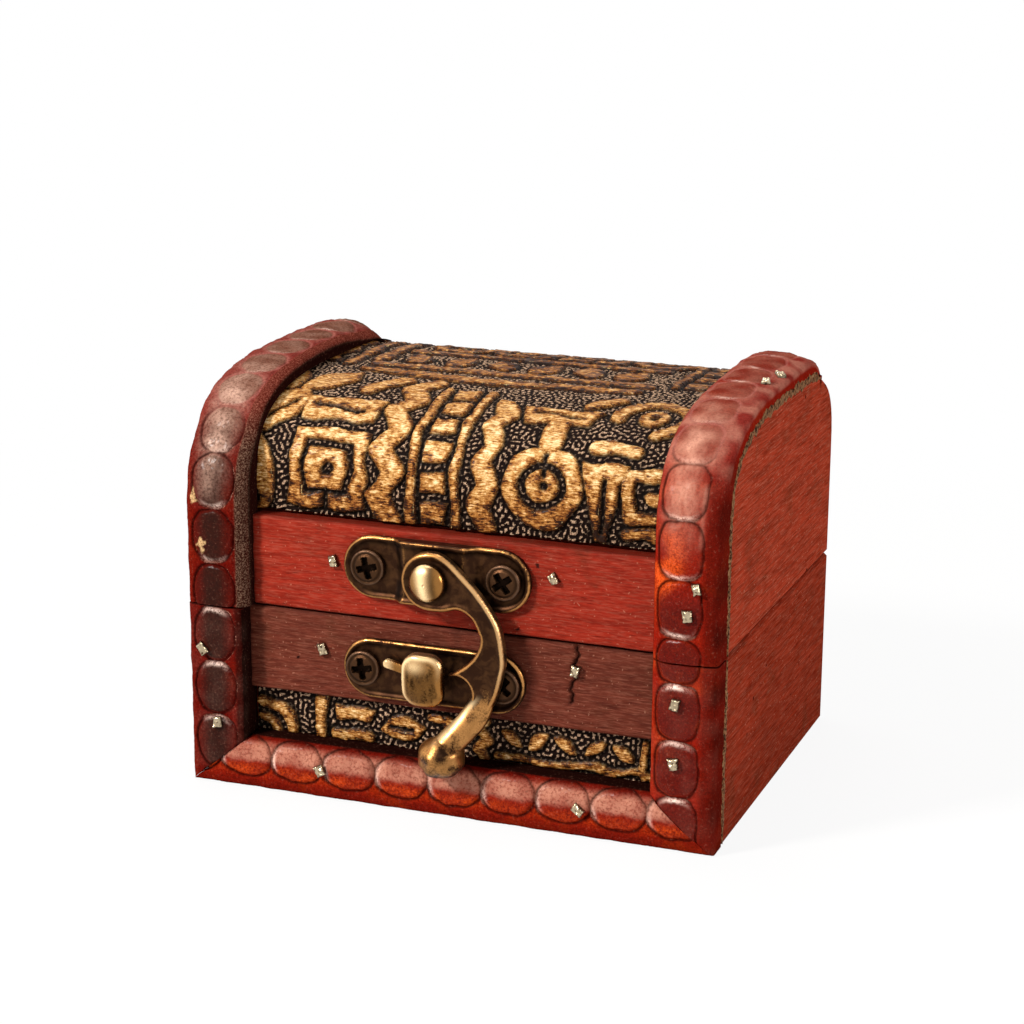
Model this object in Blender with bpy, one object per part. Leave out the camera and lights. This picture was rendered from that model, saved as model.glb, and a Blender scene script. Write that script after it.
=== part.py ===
"""A small wooden jewelry box: board carcass, arched lid, carved trims, swing hook and two hinges.

The origin is the centre of the underside. +X is the box's right, +Z is up, and the front faces -Y.
All lengths are in metres.
"""

import math

import bmesh
import bpy
import numpy as np
from mathutils import Matrix, Vector

# The box
BOX_WIDTH = 0.085
BOX_DEPTH = 0.065
SEAM_HEIGHT = 0.0291
CLEARANCE = 0.0003
CUT_OVERRUN = 0.002

# Boards, lining and leather
BOARD_THICKNESS = 0.006
BOARD_EDGE = 0.0004
BOTTOM_THICKNESS = 0.005
LINING_THICKNESS = 0.0012
LEATHER_THICKNESS = 0.0011
LID_PANEL_THICKNESS = 0.003

# Front rails on either side of the seam
RAIL_RECESS = 0.0034
BASE_RAIL_SHARE = 0.4605
LID_RAIL_HEIGHT = 0.0144
RAIL_EDGE = 0.0003

# The lid's arch, seen from the side
PEAK_SHARE = 0.577
END_SPRING = 0.0169
END_RISE = 0.0159
END_POWER = 3.2
TRIM_SPRING = 0.0128
TRIM_RISE = 0.0231
TRIM_POWER = 3.3
TRIM_PEAK_SHARE = 0.685
TRIM_END_SHARE = 0.882
ARCH_STEPS = 28

# Carved trims
TRIM_WIDTH = 0.0102
TRIM_THICKNESS = 0.0053
BOTTOM_TRIM_SHARE = 0.292
PAD_PITCH = 0.0087
GROOVE_DEPTH = 0.0006
GROOVE_REACH = 0.0005
PAD_SHOULDER = 0.0016
LID_GROOVE_START = {"left": 0.0066, "right": 0.0036}
BASE_GROOVE_START = {"left": 0.0087, "right": 0.0029}
BOTTOM_GROOVE_START = 0.0053
# Across a trim, from its inner to its outer side: how far across, how high, how deep the cross grooves go
TRIM_SECTION_SHARES = (
    (0.00, 0.00, 0.0),
    (0.00, 0.62, 0.0),
    (0.04, 0.78, 0.5),
    (0.12, 0.90, 1.0),
    (0.30, 0.97, 1.0),
    (0.50, 1.00, 1.0),
    (0.66, 0.96, 1.0),
    (0.74, 0.92, 0.3),
    (0.82, 0.95, 0.0),
    (0.90, 0.90, 0.0),
    (0.96, 0.81, 0.0),
    (1.00, 0.72, 0.0),
    (1.00, 0.00, 0.0),
)

# Brads, round-shanked with oblong heads
BRAD_HEAD_WIDTH = 0.0012
BRAD_HEAD_HEIGHT = 0.0017
BRAD_HEAD_THICKNESS = 0.0005
BRAD_RADIUS = 0.0003
BRAD_BITE = 0.002
BRAD_EDGE = 0.00015
# How far each rail brad lies from the hasp plate's end to the rail's, left and right, and up the rail
BASE_RAIL_BRAD_SHARES = ((0.249, 0.575), (0.396, 0.69))
LID_RAIL_BRAD_SHARES = ((0.134, 0.59), (0.179, 0.67))
# How far across each trim brad lies, as a share of the trim's width, and how far along it
BASE_TRIM_BRAD_SHARES = {"left": ((0.72, 0.76), (0.50, 0.36)), "right": ((0.40, 0.79), (0.41, 0.48))}
LID_TRIM_BRAD_SHARES = ((0.68, 0.9), (0.55, 0.583))
BOTTOM_TRIM_BRAD_SHARES = ((-0.235, 0.575), (0.258, 0.547))

# Hasp: plates and their screws
HASP_OFFSET = -0.00175
PLATE_THICKNESS = 0.0008
PLATE_EDGE = 0.0002
PLATE_END_SIDES = 10
HOOK_PLATE_LENGTH = 0.030
HOOK_PLATE_HEIGHT = 0.0097
HOOK_PLATE_RISE = 0.0085
HOOK_SCREW_INSET = 0.00415
PLATE_BOSS_LENGTH = 0.0096
PLATE_BOSS_RISE = 0.0012
PLATE_BOSS_RAMP = 0.0008
CATCH_PLATE_LENGTH = 0.0294
CATCH_PLATE_HEIGHT = 0.0093
CATCH_PLATE_LIFT = 0.0002
CATCH_PLATE_OFFSET = -0.0005
CATCH_SCREW_INSET = 0.0034
SCREW_HEAD_RADIUS = 0.0026
SCREW_HEAD_HEIGHT = 0.0009
SCREW_RADIUS = 0.0011
SCREW_BITE = 0.003

# Hasp: rivet, hook and catch post
PIVOT_RISE = 0.0081
RIVET_RADIUS = 0.0012
RIVET_HEAD_RADIUS = 0.00285
RIVET_HEAD_HEIGHT = 0.0015
HOOK_THICKNESS = 0.0015
HOOK_EDGE = 0.00035
# How far the eye's faces lie under the arm's
EYE_SINK = 0.00005
# The hook's drop, as a share of the pivot's height over the bottom trim
HOOK_DROP_SHARE = 0.9407
# The rest of the hook and the post's place, as shares of that drop
EYE_RADIUS_SHARE = 0.163
BALL_RADIUS_SHARE = 0.1241
BALL_SHARES = (0.101, -0.981)
BALL_LEAN_SHARE = 0.0667
NOTCH_RADIUS_SHARE = 0.1
NOTCH_SHARES = (0.154, -0.622)
POST_REACH_SHARE = 0.5852
# The arm's outline from the eye round the outside and back up the inside
ARM_SHARES = (
    (-0.02, 0.162),
    (0.107, 0.130),
    (0.254, 0.004),
    (0.352, -0.115),
    (0.417, -0.231),
    (0.444, -0.400),
    (0.435, -0.481),
    (0.404, -0.615),
    (0.363, -0.733),
    (0.296, -0.865),
    (0.222, -0.955),
    (0.140, -1.000),
    (0.050, -0.960),
    (0.052, -0.890),
    (0.138, -0.833),
    (0.150, -0.760),
    (0.130, -0.715),
    (0.150, -0.620),
    (0.120, -0.530),
    (0.140, -0.510),
    (0.237, -0.435),
    (0.289, -0.361),
    (0.304, -0.296),
    (0.289, -0.248),
    (0.250, -0.180),
    (0.172, -0.141),
    (0.048, -0.155),
    (-0.10, -0.04),
)
ARM_STEPS = 3
POST_OFFSET = -0.0007
POST_RADIUS = 0.00085
POST_COLLAR_RADIUS = 0.0018
POST_HEAD_WIDTH = 0.0052
POST_HEAD_HEIGHT = 0.0067
POST_HEAD_THICKNESS = 0.0018
POST_HEAD_EDGE = 0.0004
TAIL_LENGTH = 0.0077
TAIL_WIDTH = 0.0014
TAIL_TILT = math.radians(-13)

# Hinges
HINGE_SPREAD_SHARE = 0.5647
LEAF_WIDTH = 0.012
LEAF_HEIGHT = 0.0085
LEAF_THICKNESS = 0.0008
KNUCKLE_RADIUS = 0.0015
PIN_RADIUS = 0.0006
PIN_CLEARANCE = 0.0002
PIN_HEAD = 0.0005
PIN_HEAD_RADIUS = 0.0010
HINGE_SCREW_SPACING = 0.0066
HINGE_SCREW_SHARE = 0.62
HINGE_SCREW_HEAD_RADIUS = 0.0013
HINGE_SCREW_HEAD_HEIGHT = 0.0006
HINGE_SCREW_RADIUS = 0.0006
HINGE_SCREW_BITE = 0.0035

# Facets
ROUND_SIDES = 16
SMALL_SIDES = 10
BALL_RINGS = 10

# Places that follow from the sizes
FRONT = -BOX_DEPTH / 2
BACK = BOX_DEPTH / 2
SIDE = BOX_WIDTH / 2
BOARD_FRONT = FRONT + TRIM_THICKNESS
PANEL_FRONT = BOARD_FRONT + LEATHER_THICKNESS + CLEARANCE
FRONT_BOARD_BACK = BOARD_FRONT + BOARD_THICKNESS
INNER_SIDE = SIDE - BOARD_THICKNESS
PANEL_SIDE = INNER_SIDE - CLEARANCE
TRIM_INNER = SIDE - TRIM_WIDTH
RAIL_SIDE = TRIM_INNER - CLEARANCE
RAIL_FACE = FRONT + RAIL_RECESS
BASE_TOP = SEAM_HEIGHT - CLEARANCE / 2
LID_BOTTOM = SEAM_HEIGHT + CLEARANCE / 2
LID_SPRING = SEAM_HEIGHT + END_SPRING
BASE_RAIL_HEIGHT = SEAM_HEIGHT * BASE_RAIL_SHARE
HOOK_SCREW_SPACING = HOOK_PLATE_LENGTH - 2 * HOOK_SCREW_INSET
CATCH_SCREW_SPACING = CATCH_PLATE_LENGTH - 2 * CATCH_SCREW_INSET
BOTTOM_TRIM_HEIGHT = SEAM_HEIGHT * BOTTOM_TRIM_SHARE
HINGE_SPREAD = BOX_WIDTH * HINGE_SPREAD_SHARE
PEAK = FRONT + BOX_DEPTH * PEAK_SHARE
TRIM_PEAK = FRONT + BOX_DEPTH * TRIM_PEAK_SHARE
TRIM_STOP = FRONT + BOX_DEPTH * TRIM_END_SHARE
TRIM_SEAT = BOARD_FRONT - CLEARANCE
HINGE_Y = BACK + CLEARANCE + KNUCKLE_RADIUS
PLATE_BACK = RAIL_FACE - CLEARANCE
PLATE_FACE = PLATE_BACK - PLATE_THICKNESS
BOSS_FACE = PLATE_FACE - PLATE_BOSS_RISE
HOOK_BACK = BOSS_FACE - CLEARANCE
HOOK_FACE = HOOK_BACK - HOOK_THICKNESS
PIVOT = Vector((HASP_OFFSET, (HOOK_BACK + HOOK_FACE) / 2, SEAM_HEIGHT + PIVOT_RISE))
HOOK_PLATE_Z = SEAM_HEIGHT + HOOK_PLATE_RISE
HOOK_DROP = (PIVOT.z - BOTTOM_TRIM_HEIGHT) * HOOK_DROP_SHARE
EYE_RADIUS = HOOK_DROP * EYE_RADIUS_SHARE
BALL_RADIUS = HOOK_DROP * BALL_RADIUS_SHARE
BALL_LEAN = HOOK_DROP * BALL_LEAN_SHARE
NOTCH_RADIUS = HOOK_DROP * NOTCH_RADIUS_SHARE
POST = Vector((HASP_OFFSET + POST_OFFSET, PLATE_FACE, PIVOT.z - HOOK_DROP * POST_REACH_SHARE))
CATCH_PLATE_X = HASP_OFFSET + CATCH_PLATE_OFFSET
CATCH_PLATE_Z = POST.z + CATCH_PLATE_LIFT
SCREW_TIP = PANEL_FRONT + SCREW_BITE

FORWARD = Vector((0, -1, 0))
BACKWARD = Vector((0, 1, 0))
SIDEWAYS = Vector((1, 0, 0))


def clear_scene():
    """Empty the scene of the objects it opens with."""
    for item in list(bpy.data.objects):
        bpy.data.objects.remove(item, do_unlink=True)


def finish(name, colour, roughness, metallic=0.0):
    """Return a new material with one Principled surface."""
    made = bpy.data.materials.new(name)
    made.use_nodes = True
    surface = made.node_tree.nodes["Principled BSDF"]
    surface.inputs["Base Color"].default_value = (*colour, 1.0)
    surface.inputs["Roughness"].default_value = roughness
    surface.inputs["Metallic"].default_value = metallic
    return made


def guide():
    """Return the plain material of the shapes that only cut or join others."""
    return bpy.data.materials.get("guide") or finish("guide", (1, 1, 1), 1.0)


def lacquer(name, colour=(0.36, 0.05, 0.03)):
    """Return the trims' glossy red lacquer."""
    return finish(name, colour, 0.3)


def stained_wood(name):
    """Return the boards' matte brick red stain."""
    return finish(name, (0.27, 0.06, 0.03), 0.65)


def tooled_leather(name):
    """Return the dark gilded leather."""
    return finish(name, (0.12, 0.07, 0.03), 0.6)


def felt(name):
    """Return the dark red felt of the lining."""
    return finish(name, (0.16, 0.02, 0.02), 0.95)


def antique_brass(name):
    """Return the dark patinated brass of the hasp and hinges."""
    return finish(name, (0.21, 0.15, 0.07), 0.38, 1.0)


def bright_brass(name):
    """Return the polished brass of the pivot, the post and the brads."""
    return finish(name, (0.62, 0.43, 0.18), 0.3, 1.0)


def dark_steel(name):
    """Return the blackened steel of the screws."""
    return finish(name, (0.06, 0.05, 0.045), 0.45, 1.0)


def attach(item, parent):
    """Parent an object that was placed in world space, and keep it there."""
    item.parent = parent
    item.matrix_parent_inverse = Matrix.Translation(parent.location).inverted()


def add(name, mesh, surface, parent=None, place=(0, 0, 0)):
    """Add an object with its own material slot to the scene."""
    item = bpy.data.objects.new(name, mesh)
    item.location = place
    bpy.context.scene.collection.objects.link(item)
    if not mesh.materials:
        mesh.materials.append(surface)
    item.material_slots[0].link = "OBJECT"
    item.material_slots[0].material = surface
    if parent:
        attach(item, parent)
    return item


def mesh_of(name, points, faces, smooth=False):
    """Return a mesh whose faces all point outward."""
    shape = bmesh.new()
    corners = [shape.verts.new(point) for point in points]
    for face in faces:
        shape.faces.new([corners[index] for index in face])
    bmesh.ops.recalc_face_normals(shape, faces=shape.faces)
    made = bpy.data.meshes.new(name)
    shape.to_mesh(made)
    shape.free()
    if smooth:
        made.shade_smooth()
        made.set_sharp_from_angle(angle=math.radians(35))
    return made


def soften(item, width, segments=1, angle=math.radians(50)):
    """Round an object's sharp edges."""
    bevel = item.modifiers.new("edges", "BEVEL")
    bevel.width = width
    bevel.segments = segments
    bevel.limit_method = "ANGLE"
    bevel.angle_limit = angle
    return item


def combine(target, tool, operation):
    """Cut a guide object from the target, join it on, or keep what both share."""
    step = target.modifiers.new(tool.name, "BOOLEAN")
    step.operation = operation
    step.solver = "EXACT"
    step.object = tool
    tool.hide_render = True
    tool.display_type = "WIRE"
    if tool.parent is None and target.parent:
        attach(tool, target.parent)


def prism_mesh(name, outline, direction, start, stop, smooth=False):
    """Return an outline extruded between two stops along X, Y or Z.

    The outline's points give the two other coordinates in X, Y, Z order.
    """
    axis = "XYZ".index(direction)
    points = []
    for stop_value in (start, stop):
        for first, second in outline:
            place = [first, second]
            place.insert(axis, stop_value)
            points.append(place)
    count = len(outline)
    faces = [tuple(range(count)), tuple(range(count, 2 * count))]
    for index in range(count):
        after = (index + 1) % count
        faces.append((index, after, count + after, count + index))
    return mesh_of(name, points, faces, smooth)


def prism(name, outline, direction, start, stop, surface, parent=None, smooth=False):
    """Add an extruded outline to the scene."""
    return add(name, prism_mesh(name, outline, direction, start, stop, smooth), surface, parent)


def board(name, low, high, surface, parent=None, edge=BOARD_EDGE):
    """Add a rectangular board with softened edges."""
    outline = [(low[0], low[1]), (high[0], low[1]), (high[0], high[1]), (low[0], high[1])]
    item = prism(name, outline, "Z", low[2], high[2], surface, parent)
    return soften(item, edge)


def turned_mesh(name, profile, sides, direction=FORWARD):
    """Return a solid turned about an axis through the origin.

    The profile lists (along, radius) from one end to the other, and its ends may lie on the axis.
    """
    turn = Vector((0, 0, 1)).rotation_difference(direction)
    points, rings = [], []
    for along, radius in profile:
        if radius <= 0:
            rings.append([len(points)])
            points.append(turn @ Vector((0, 0, along)))
            continue
        rings.append(list(range(len(points), len(points) + sides)))
        for side in range(sides):
            angle = 2 * math.pi * side / sides
            points.append(turn @ Vector((radius * math.cos(angle), radius * math.sin(angle), along)))
    faces = []
    for ring, after in zip(rings, rings[1:]):
        for side in range(sides):
            following = (side + 1) % sides
            corners = [
                ring[side % len(ring)],
                ring[following % len(ring)],
                after[following % len(after)],
                after[side % len(after)],
            ]
            faces.append(tuple(dict.fromkeys(corners)))
    for ring in (rings[0], rings[-1]):
        if len(ring) > 1:
            faces.append(tuple(ring))
    return mesh_of(name, points, faces, smooth=True)


def dome_profile(radius, height, rings=3):
    """Return the (along, radius) points of a shallow dome that starts at its rim."""
    turns = [math.pi / 2 * ring / rings for ring in range(rings + 1)]
    return [(height * math.sin(turn), radius * math.cos(turn) if turn < turns[-1] else 0) for turn in turns]


def headed_pin_mesh(name, radius, length, head_radius, head_height, sides):
    """Return a domed head whose underside is at the origin, on a shank that runs back from it."""
    shank = [(-length, 0), (-length, radius), (0, radius)]
    return turned_mesh(name, shank + dome_profile(head_radius, head_height), sides)


def bore(name, place, radius, length, targets, direction=BACKWARD, sides=SMALL_SIDES):
    """Drill each target from in front of a place to the given depth behind it."""
    profile = [(-CUT_OVERRUN, 0), (-CUT_OVERRUN, radius), (length, radius), (length, 0)]
    cutter = add(name, turned_mesh(name, profile, sides, direction), guide(), place=place)
    for target in targets:
        combine(target, cutter, "DIFFERENCE")
    if targets[0].parent is None:
        return
    attach(cutter, targets[0].parent)


def arch_point(turn, spring, rise, front, back, inset=0.0, power=END_POWER, peak=PEAK):
    """Return (y, z) on the lid's arch, which runs from the front at turn 0 to the back at half a turn."""
    reach = (peak - front if turn < math.pi / 2 else back - peak) - inset
    across = abs(math.cos(turn)) ** (2 / power) * reach
    up = abs(math.sin(turn)) ** (2 / power) * (rise - inset)
    return (peak - math.copysign(across, math.cos(turn)), spring + up)


def end_arch(inset):
    """Return the end boards' arch as (y, z) points, set in by a thickness."""
    turns = [math.pi * step / ARCH_STEPS for step in range(ARCH_STEPS + 1)]
    return [arch_point(turn, LID_SPRING, END_RISE, BOARD_FRONT, BACK, inset) for turn in turns]


def stadium(length, height, centre=(0, 0)):
    """Return the outline of a plate with fully round ends."""
    radius = height / 2
    reach = length / 2 - radius
    points = []
    for end in (1, -1):
        for step in range(PLATE_END_SIDES + 1):
            turn = math.pi * (step / PLATE_END_SIDES - end / 2)
            points.append((centre[0] + end * reach + radius * math.cos(turn), centre[1] + radius * math.sin(turn)))
    return points


def groove_rows(start, length):
    """Return the places along a trim that carry a row of points, each with its groove share."""
    rows = {0.0: 0.0, length: 0.0}
    groove = start
    while groove < length - PAD_SHOULDER:
        rows[groove] = 1.0
        for reach in (GROOVE_REACH, PAD_SHOULDER):
            rows[groove - reach] = 0.0
            rows[groove + reach] = 0.0
        rows[groove + PAD_PITCH / 2] = 0.0
        groove += PAD_PITCH
    return [(place, rows[place]) for place in sorted(rows) if 0 <= place <= length]


def carved_strip(name, rows, across, surface, parent=None):
    """Add a carved trim lofted through rows of (seat point, crest point, groove share).

    The section runs from the seat line along the vector across, which is the trim's width.
    """
    points, faces = [], []
    count = len(TRIM_SECTION_SHARES)
    for seat, crest, groove in rows:
        depth = GROOVE_DEPTH / (crest - seat).length
        for over, height, cut in TRIM_SECTION_SHARES:
            points.append(seat + across * over + (crest - seat) * (height - depth * groove * cut))
    for row in range(len(rows) - 1):
        for column in range(count):
            after = (column + 1) % count
            first = row * count
            second = first + count
            faces.append((first + column, first + after, second + after, second + column))
    faces.append(tuple(range(count)))
    faces.append(tuple(range(len(points) - count, len(points))))
    return add(name, mesh_of(name, points, faces, smooth=True), surface, parent)


def arched_rows(start):
    """Return the rows of a lid trim: straight up from the seam, then over the arch to its back end."""
    outer_spring = SEAM_HEIGHT + TRIM_SPRING
    fine = np.linspace(0, math.pi, 721)
    outer = [
        arch_point(turn, outer_spring, TRIM_RISE, FRONT, BACK, power=TRIM_POWER, peak=TRIM_PEAK) for turn in fine
    ]
    inner = [arch_point(turn, LID_SPRING, END_RISE, BOARD_FRONT, BACK, -CLEARANCE) for turn in fine]
    outer = np.array([(FRONT, LID_BOTTOM)] + [point for point in outer if point[0] < TRIM_STOP])
    inner = np.array(inner)
    seats = [(TRIM_SEAT, LID_BOTTOM)]
    for point in outer[1:]:
        nearest = np.argmin(np.linalg.norm(inner - point, axis=1))
        seats.append(inner[nearest] if nearest else (TRIM_SEAT, point[1]))
    inner = np.array(seats)
    steps = np.linalg.norm(np.diff(outer, axis=0), axis=1)
    along = np.concatenate(([0.0], np.cumsum(steps)))
    rows = []
    for place, groove in groove_rows(start, along[-1]):
        seat = [np.interp(place, along, inner[:, axis]) for axis in (0, 1)]
        crest = [np.interp(place, along, outer[:, axis]) for axis in (0, 1)]
        rows.append((seat, crest, groove))
    return rows


def base_trim_rows(start):
    """Return the rows of a base trim, which runs from the underside to the seam."""
    rows = []
    for place, groove in groove_rows(start, BASE_TOP):
        height = BASE_TOP - place
        rows.append(((TRIM_SEAT, height), (FRONT, height), groove))
    return rows


def upright_trim(name, side, rows, surface, parent=None):
    """Add a left or right trim from (y, z) rows."""
    sign = -1 if side == "left" else 1
    placed = []
    for seat, crest, groove in rows:
        start = Vector((sign * TRIM_INNER, *seat))
        placed.append((start, Vector((sign * TRIM_INNER, *crest)), groove))
    return carved_strip(name, placed, SIDEWAYS * sign * TRIM_WIDTH, surface, parent)


def mitre(trim, side, below):
    """Cut a trim along the corner's diagonal, taking away what lies below it or above it."""
    sign = -1 if side == "left" else 1
    step = CLEARANCE / 2 if below else -CLEARANCE / 2
    slope = BOTTOM_TRIM_HEIGHT / TRIM_WIDTH
    reach = TRIM_WIDTH + CUT_OVERRUN
    outer = (sign * (SIDE + CUT_OVERRUN), step - CUT_OVERRUN * slope)
    inner = (sign * (SIDE - reach), step + reach * slope)
    if below:
        corner = [(inner[0], -CUT_OVERRUN * 2), (outer[0], -CUT_OVERRUN * 2)]
    else:
        corner = [(outer[0], inner[1])]
    name = f"{trim.name}_mitre_{side}"
    wedge = prism(name, [outer, inner, *corner], "Y", FRONT - CUT_OVERRUN, BOARD_FRONT, guide())
    combine(trim, wedge, "DIFFERENCE")


def build_carcass():
    """Build the base's five boards and its lining, and return the boards that carry fasteners."""
    inner_back = BACK - BOARD_THICKNESS
    for side, sign in (("left", -1), ("right", 1)):
        edges = sorted((sign * INNER_SIDE, sign * SIDE))
        name = f"base_{side}_board"
        board(name, (edges[0], BOARD_FRONT, 0), (edges[1], BACK, BASE_TOP), stained_wood(name))
    front = board(
        "base_front_board",
        (-PANEL_SIDE, PANEL_FRONT, 0),
        (PANEL_SIDE, FRONT_BOARD_BACK, BASE_TOP),
        stained_wood("base_front_board"),
    )
    back = board(
        "base_back_board", (-PANEL_SIDE, inner_back, 0), (PANEL_SIDE, BACK, BASE_TOP), stained_wood("base_back_board")
    )
    floor_front = FRONT_BOARD_BACK + CLEARANCE
    floor_back = inner_back - CLEARANCE
    board(
        "bottom_board",
        (-PANEL_SIDE, floor_front, 0),
        (PANEL_SIDE, floor_back, BOTTOM_THICKNESS),
        stained_wood("bottom_board"),
    )
    lining_low = BOTTOM_THICKNESS + CLEARANCE
    board(
        "floor_lining",
        (-PANEL_SIDE, floor_front, lining_low),
        (PANEL_SIDE, floor_back, lining_low + LINING_THICKNESS),
        felt("floor_lining"),
    )
    return front, back


def build_base_front():
    """Build the base's leather strip, rail and three mitred trims."""
    rail_bottom = SEAM_HEIGHT - BASE_RAIL_HEIGHT
    leather_back = PANEL_FRONT - CLEARANCE
    board(
        "base_front_leather",
        (-RAIL_SIDE, BOARD_FRONT, BOTTOM_TRIM_HEIGHT + CLEARANCE),
        (RAIL_SIDE, leather_back, rail_bottom - CLEARANCE),
        tooled_leather("base_front_leather"),
        edge=LEATHER_THICKNESS / 5,
    )
    rail = board(
        "base_front_rail",
        (-RAIL_SIDE, RAIL_FACE, rail_bottom),
        (RAIL_SIDE, leather_back, BASE_TOP),
        lacquer("base_front_rail"),
        edge=RAIL_EDGE,
    )
    trims = {}
    for side in ("left", "right"):
        name = f"base_trim_{side}"
        trims[side] = upright_trim(name, side, base_trim_rows(BASE_GROOVE_START[side]), lacquer(name))
        mitre(trims[side], side, below=True)
    rows = []
    for place, groove in groove_rows(BOTTOM_GROOVE_START, BOX_WIDTH):
        seat = Vector((place - SIDE, TRIM_SEAT, BOTTOM_TRIM_HEIGHT))
        crest = Vector((place - SIDE, FRONT, BOTTOM_TRIM_HEIGHT))
        rows.append((seat, crest, groove))
    down = Vector((0, 0, -BOTTOM_TRIM_HEIGHT))
    bottom = carved_strip("bottom_trim", rows, down, lacquer("bottom_trim"))
    for side in ("left", "right"):
        mitre(bottom, side, below=False)
    return rail, trims, bottom


def build_lid_shell(lid):
    """Build the lid's end boards, front and back boards, bent panel and leather."""
    outline = [(BOARD_FRONT, LID_BOTTOM), *end_arch(0.0), (BACK, LID_BOTTOM)]
    for side, sign in (("left", -1), ("right", 1)):
        name = f"lid_{side}_end"
        item = prism(name, outline, "X", sign * INNER_SIDE, sign * SIDE, stained_wood(name), lid)
        soften(item, BOARD_EDGE)
    panel_inset = LEATHER_THICKNESS + CLEARANCE
    top = LID_SPRING - CLEARANCE
    front = board(
        "lid_front_board",
        (-PANEL_SIDE, PANEL_FRONT, LID_BOTTOM),
        (PANEL_SIDE, FRONT_BOARD_BACK, top),
        stained_wood("lid_front_board"),
        lid,
    )
    back = board(
        "lid_back_board",
        (-PANEL_SIDE, BACK - BOARD_THICKNESS, LID_BOTTOM),
        (PANEL_SIDE, BACK, top),
        stained_wood("lid_back_board"),
        lid,
    )
    panel = end_arch(panel_inset) + end_arch(panel_inset + LID_PANEL_THICKNESS)[::-1]
    name = "lid_top_panel"
    prism(name, panel, "X", -PANEL_SIDE, PANEL_SIDE, stained_wood(name), lid, smooth=True)
    rail_top = SEAM_HEIGHT + LID_RAIL_HEIGHT
    skirt = [(BOARD_FRONT, rail_top + CLEARANCE)]
    inner_skirt = [(BOARD_FRONT + LEATHER_THICKNESS, rail_top + CLEARANCE)]
    leather = skirt + end_arch(0.0) + end_arch(LEATHER_THICKNESS)[::-1] + inner_skirt
    name = "lid_leather"
    prism(name, leather, "X", -PANEL_SIDE, PANEL_SIDE, tooled_leather(name), lid, smooth=True)
    rail = board(
        "lid_front_rail",
        (-RAIL_SIDE, RAIL_FACE, LID_BOTTOM),
        (RAIL_SIDE, PANEL_FRONT - CLEARANCE, rail_top),
        lacquer("lid_front_rail"),
        lid,
        edge=RAIL_EDGE,
    )
    return front, back, rail


def build_lid_trims(lid):
    """Build the two carved trims that climb the front and cross the lid."""
    trims = {}
    for side in ("left", "right"):
        name = f"lid_trim_{side}"
        trims[side] = upright_trim(name, side, arched_rows(LID_GROOVE_START[side]), lacquer(name), lid)
    return trims


def build_hook_plate(lid):
    """Build the formed plate that carries the hook: a bent strip kept to the plate's outline."""
    boss = PLATE_BOSS_LENGTH / 2
    end = HOOK_PLATE_LENGTH / 2 + CUT_OVERRUN
    bends = [(-end, 0), (-boss - PLATE_BOSS_RAMP, 0), (-boss, 1), (boss, 1), (boss + PLATE_BOSS_RAMP, 0), (end, 0)]
    front = [(HASP_OFFSET + x, PLATE_FACE - PLATE_BOSS_RISE * lift) for x, lift in bends]
    back = [(HASP_OFFSET + x, PLATE_BACK - PLATE_BOSS_RISE * lift) for x, lift in bends]
    half = HOOK_PLATE_HEIGHT / 2
    low = HOOK_PLATE_Z - half - CUT_OVERRUN
    high = HOOK_PLATE_Z + half + CUT_OVERRUN
    plate = prism("hook_plate", front + back[::-1], "Z", low, high, antique_brass("hook_plate"), lid)
    outline = stadium(HOOK_PLATE_LENGTH, HOOK_PLATE_HEIGHT, (HASP_OFFSET, HOOK_PLATE_Z))
    keep = prism("hook_plate_outline", outline, "Y", BOSS_FACE - CUT_OVERRUN, RAIL_FACE, guide())
    combine(plate, keep, "INTERSECT")
    return soften(plate, PLATE_EDGE)


def build_catch_plate():
    """Build the flat plate that carries the catch post."""
    outline = stadium(CATCH_PLATE_LENGTH, CATCH_PLATE_HEIGHT, (CATCH_PLATE_X, CATCH_PLATE_Z))
    plate = prism("catch_plate", outline, "Y", PLATE_FACE, PLATE_BACK, antique_brass("catch_plate"))
    return soften(plate, PLATE_EDGE)


def build_post(targets):
    """Build the catch post: shank, collar and tail on the plate, and a broad head in front of the hook."""
    head_back = HOOK_FACE - CLEARANCE
    seat = PLATE_FACE - CLEARANCE
    collar = HOOK_BACK + CLEARANCE
    reach = SCREW_TIP - seat
    profile = [
        (-reach, 0),
        (-reach, POST_RADIUS),
        (0, POST_RADIUS),
        (0, POST_COLLAR_RADIUS),
        (seat - collar, POST_COLLAR_RADIUS),
        (seat - collar, POST_RADIUS),
        (seat - head_back + POST_HEAD_THICKNESS / 2, POST_RADIUS),
        (seat - head_back + POST_HEAD_THICKNESS / 2, 0),
    ]
    place = Vector((POST.x, seat, POST.z))
    post = add("catch_post", turned_mesh("catch_post", profile, ROUND_SIDES), bright_brass("catch_post"), place=place)
    width = POST_HEAD_WIDTH
    outline = [(z, x) for x, z in stadium(POST_HEAD_HEIGHT, width)]
    head = prism("post_head", outline, "Y", -POST_HEAD_THICKNESS, 0, guide(), smooth=True)
    head.location = (POST.x, head_back, POST.z)
    soften(head, POST_HEAD_EDGE, 2)
    combine(post, head, "UNION")
    half = TAIL_WIDTH / 2
    outline = [(-TAIL_LENGTH, -half), (0, -half), (0, half), (-TAIL_LENGTH, half)]
    tail = prism("post_tail", outline, "Y", collar - seat, 0, guide())
    tail.location = place
    tail.rotation_euler.y = -TAIL_TILT
    soften(tail, PLATE_EDGE)
    combine(post, tail, "UNION")
    bore("post_bore", place, POST_RADIUS + CLEARANCE, reach + CLEARANCE, targets)
    return post


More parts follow.
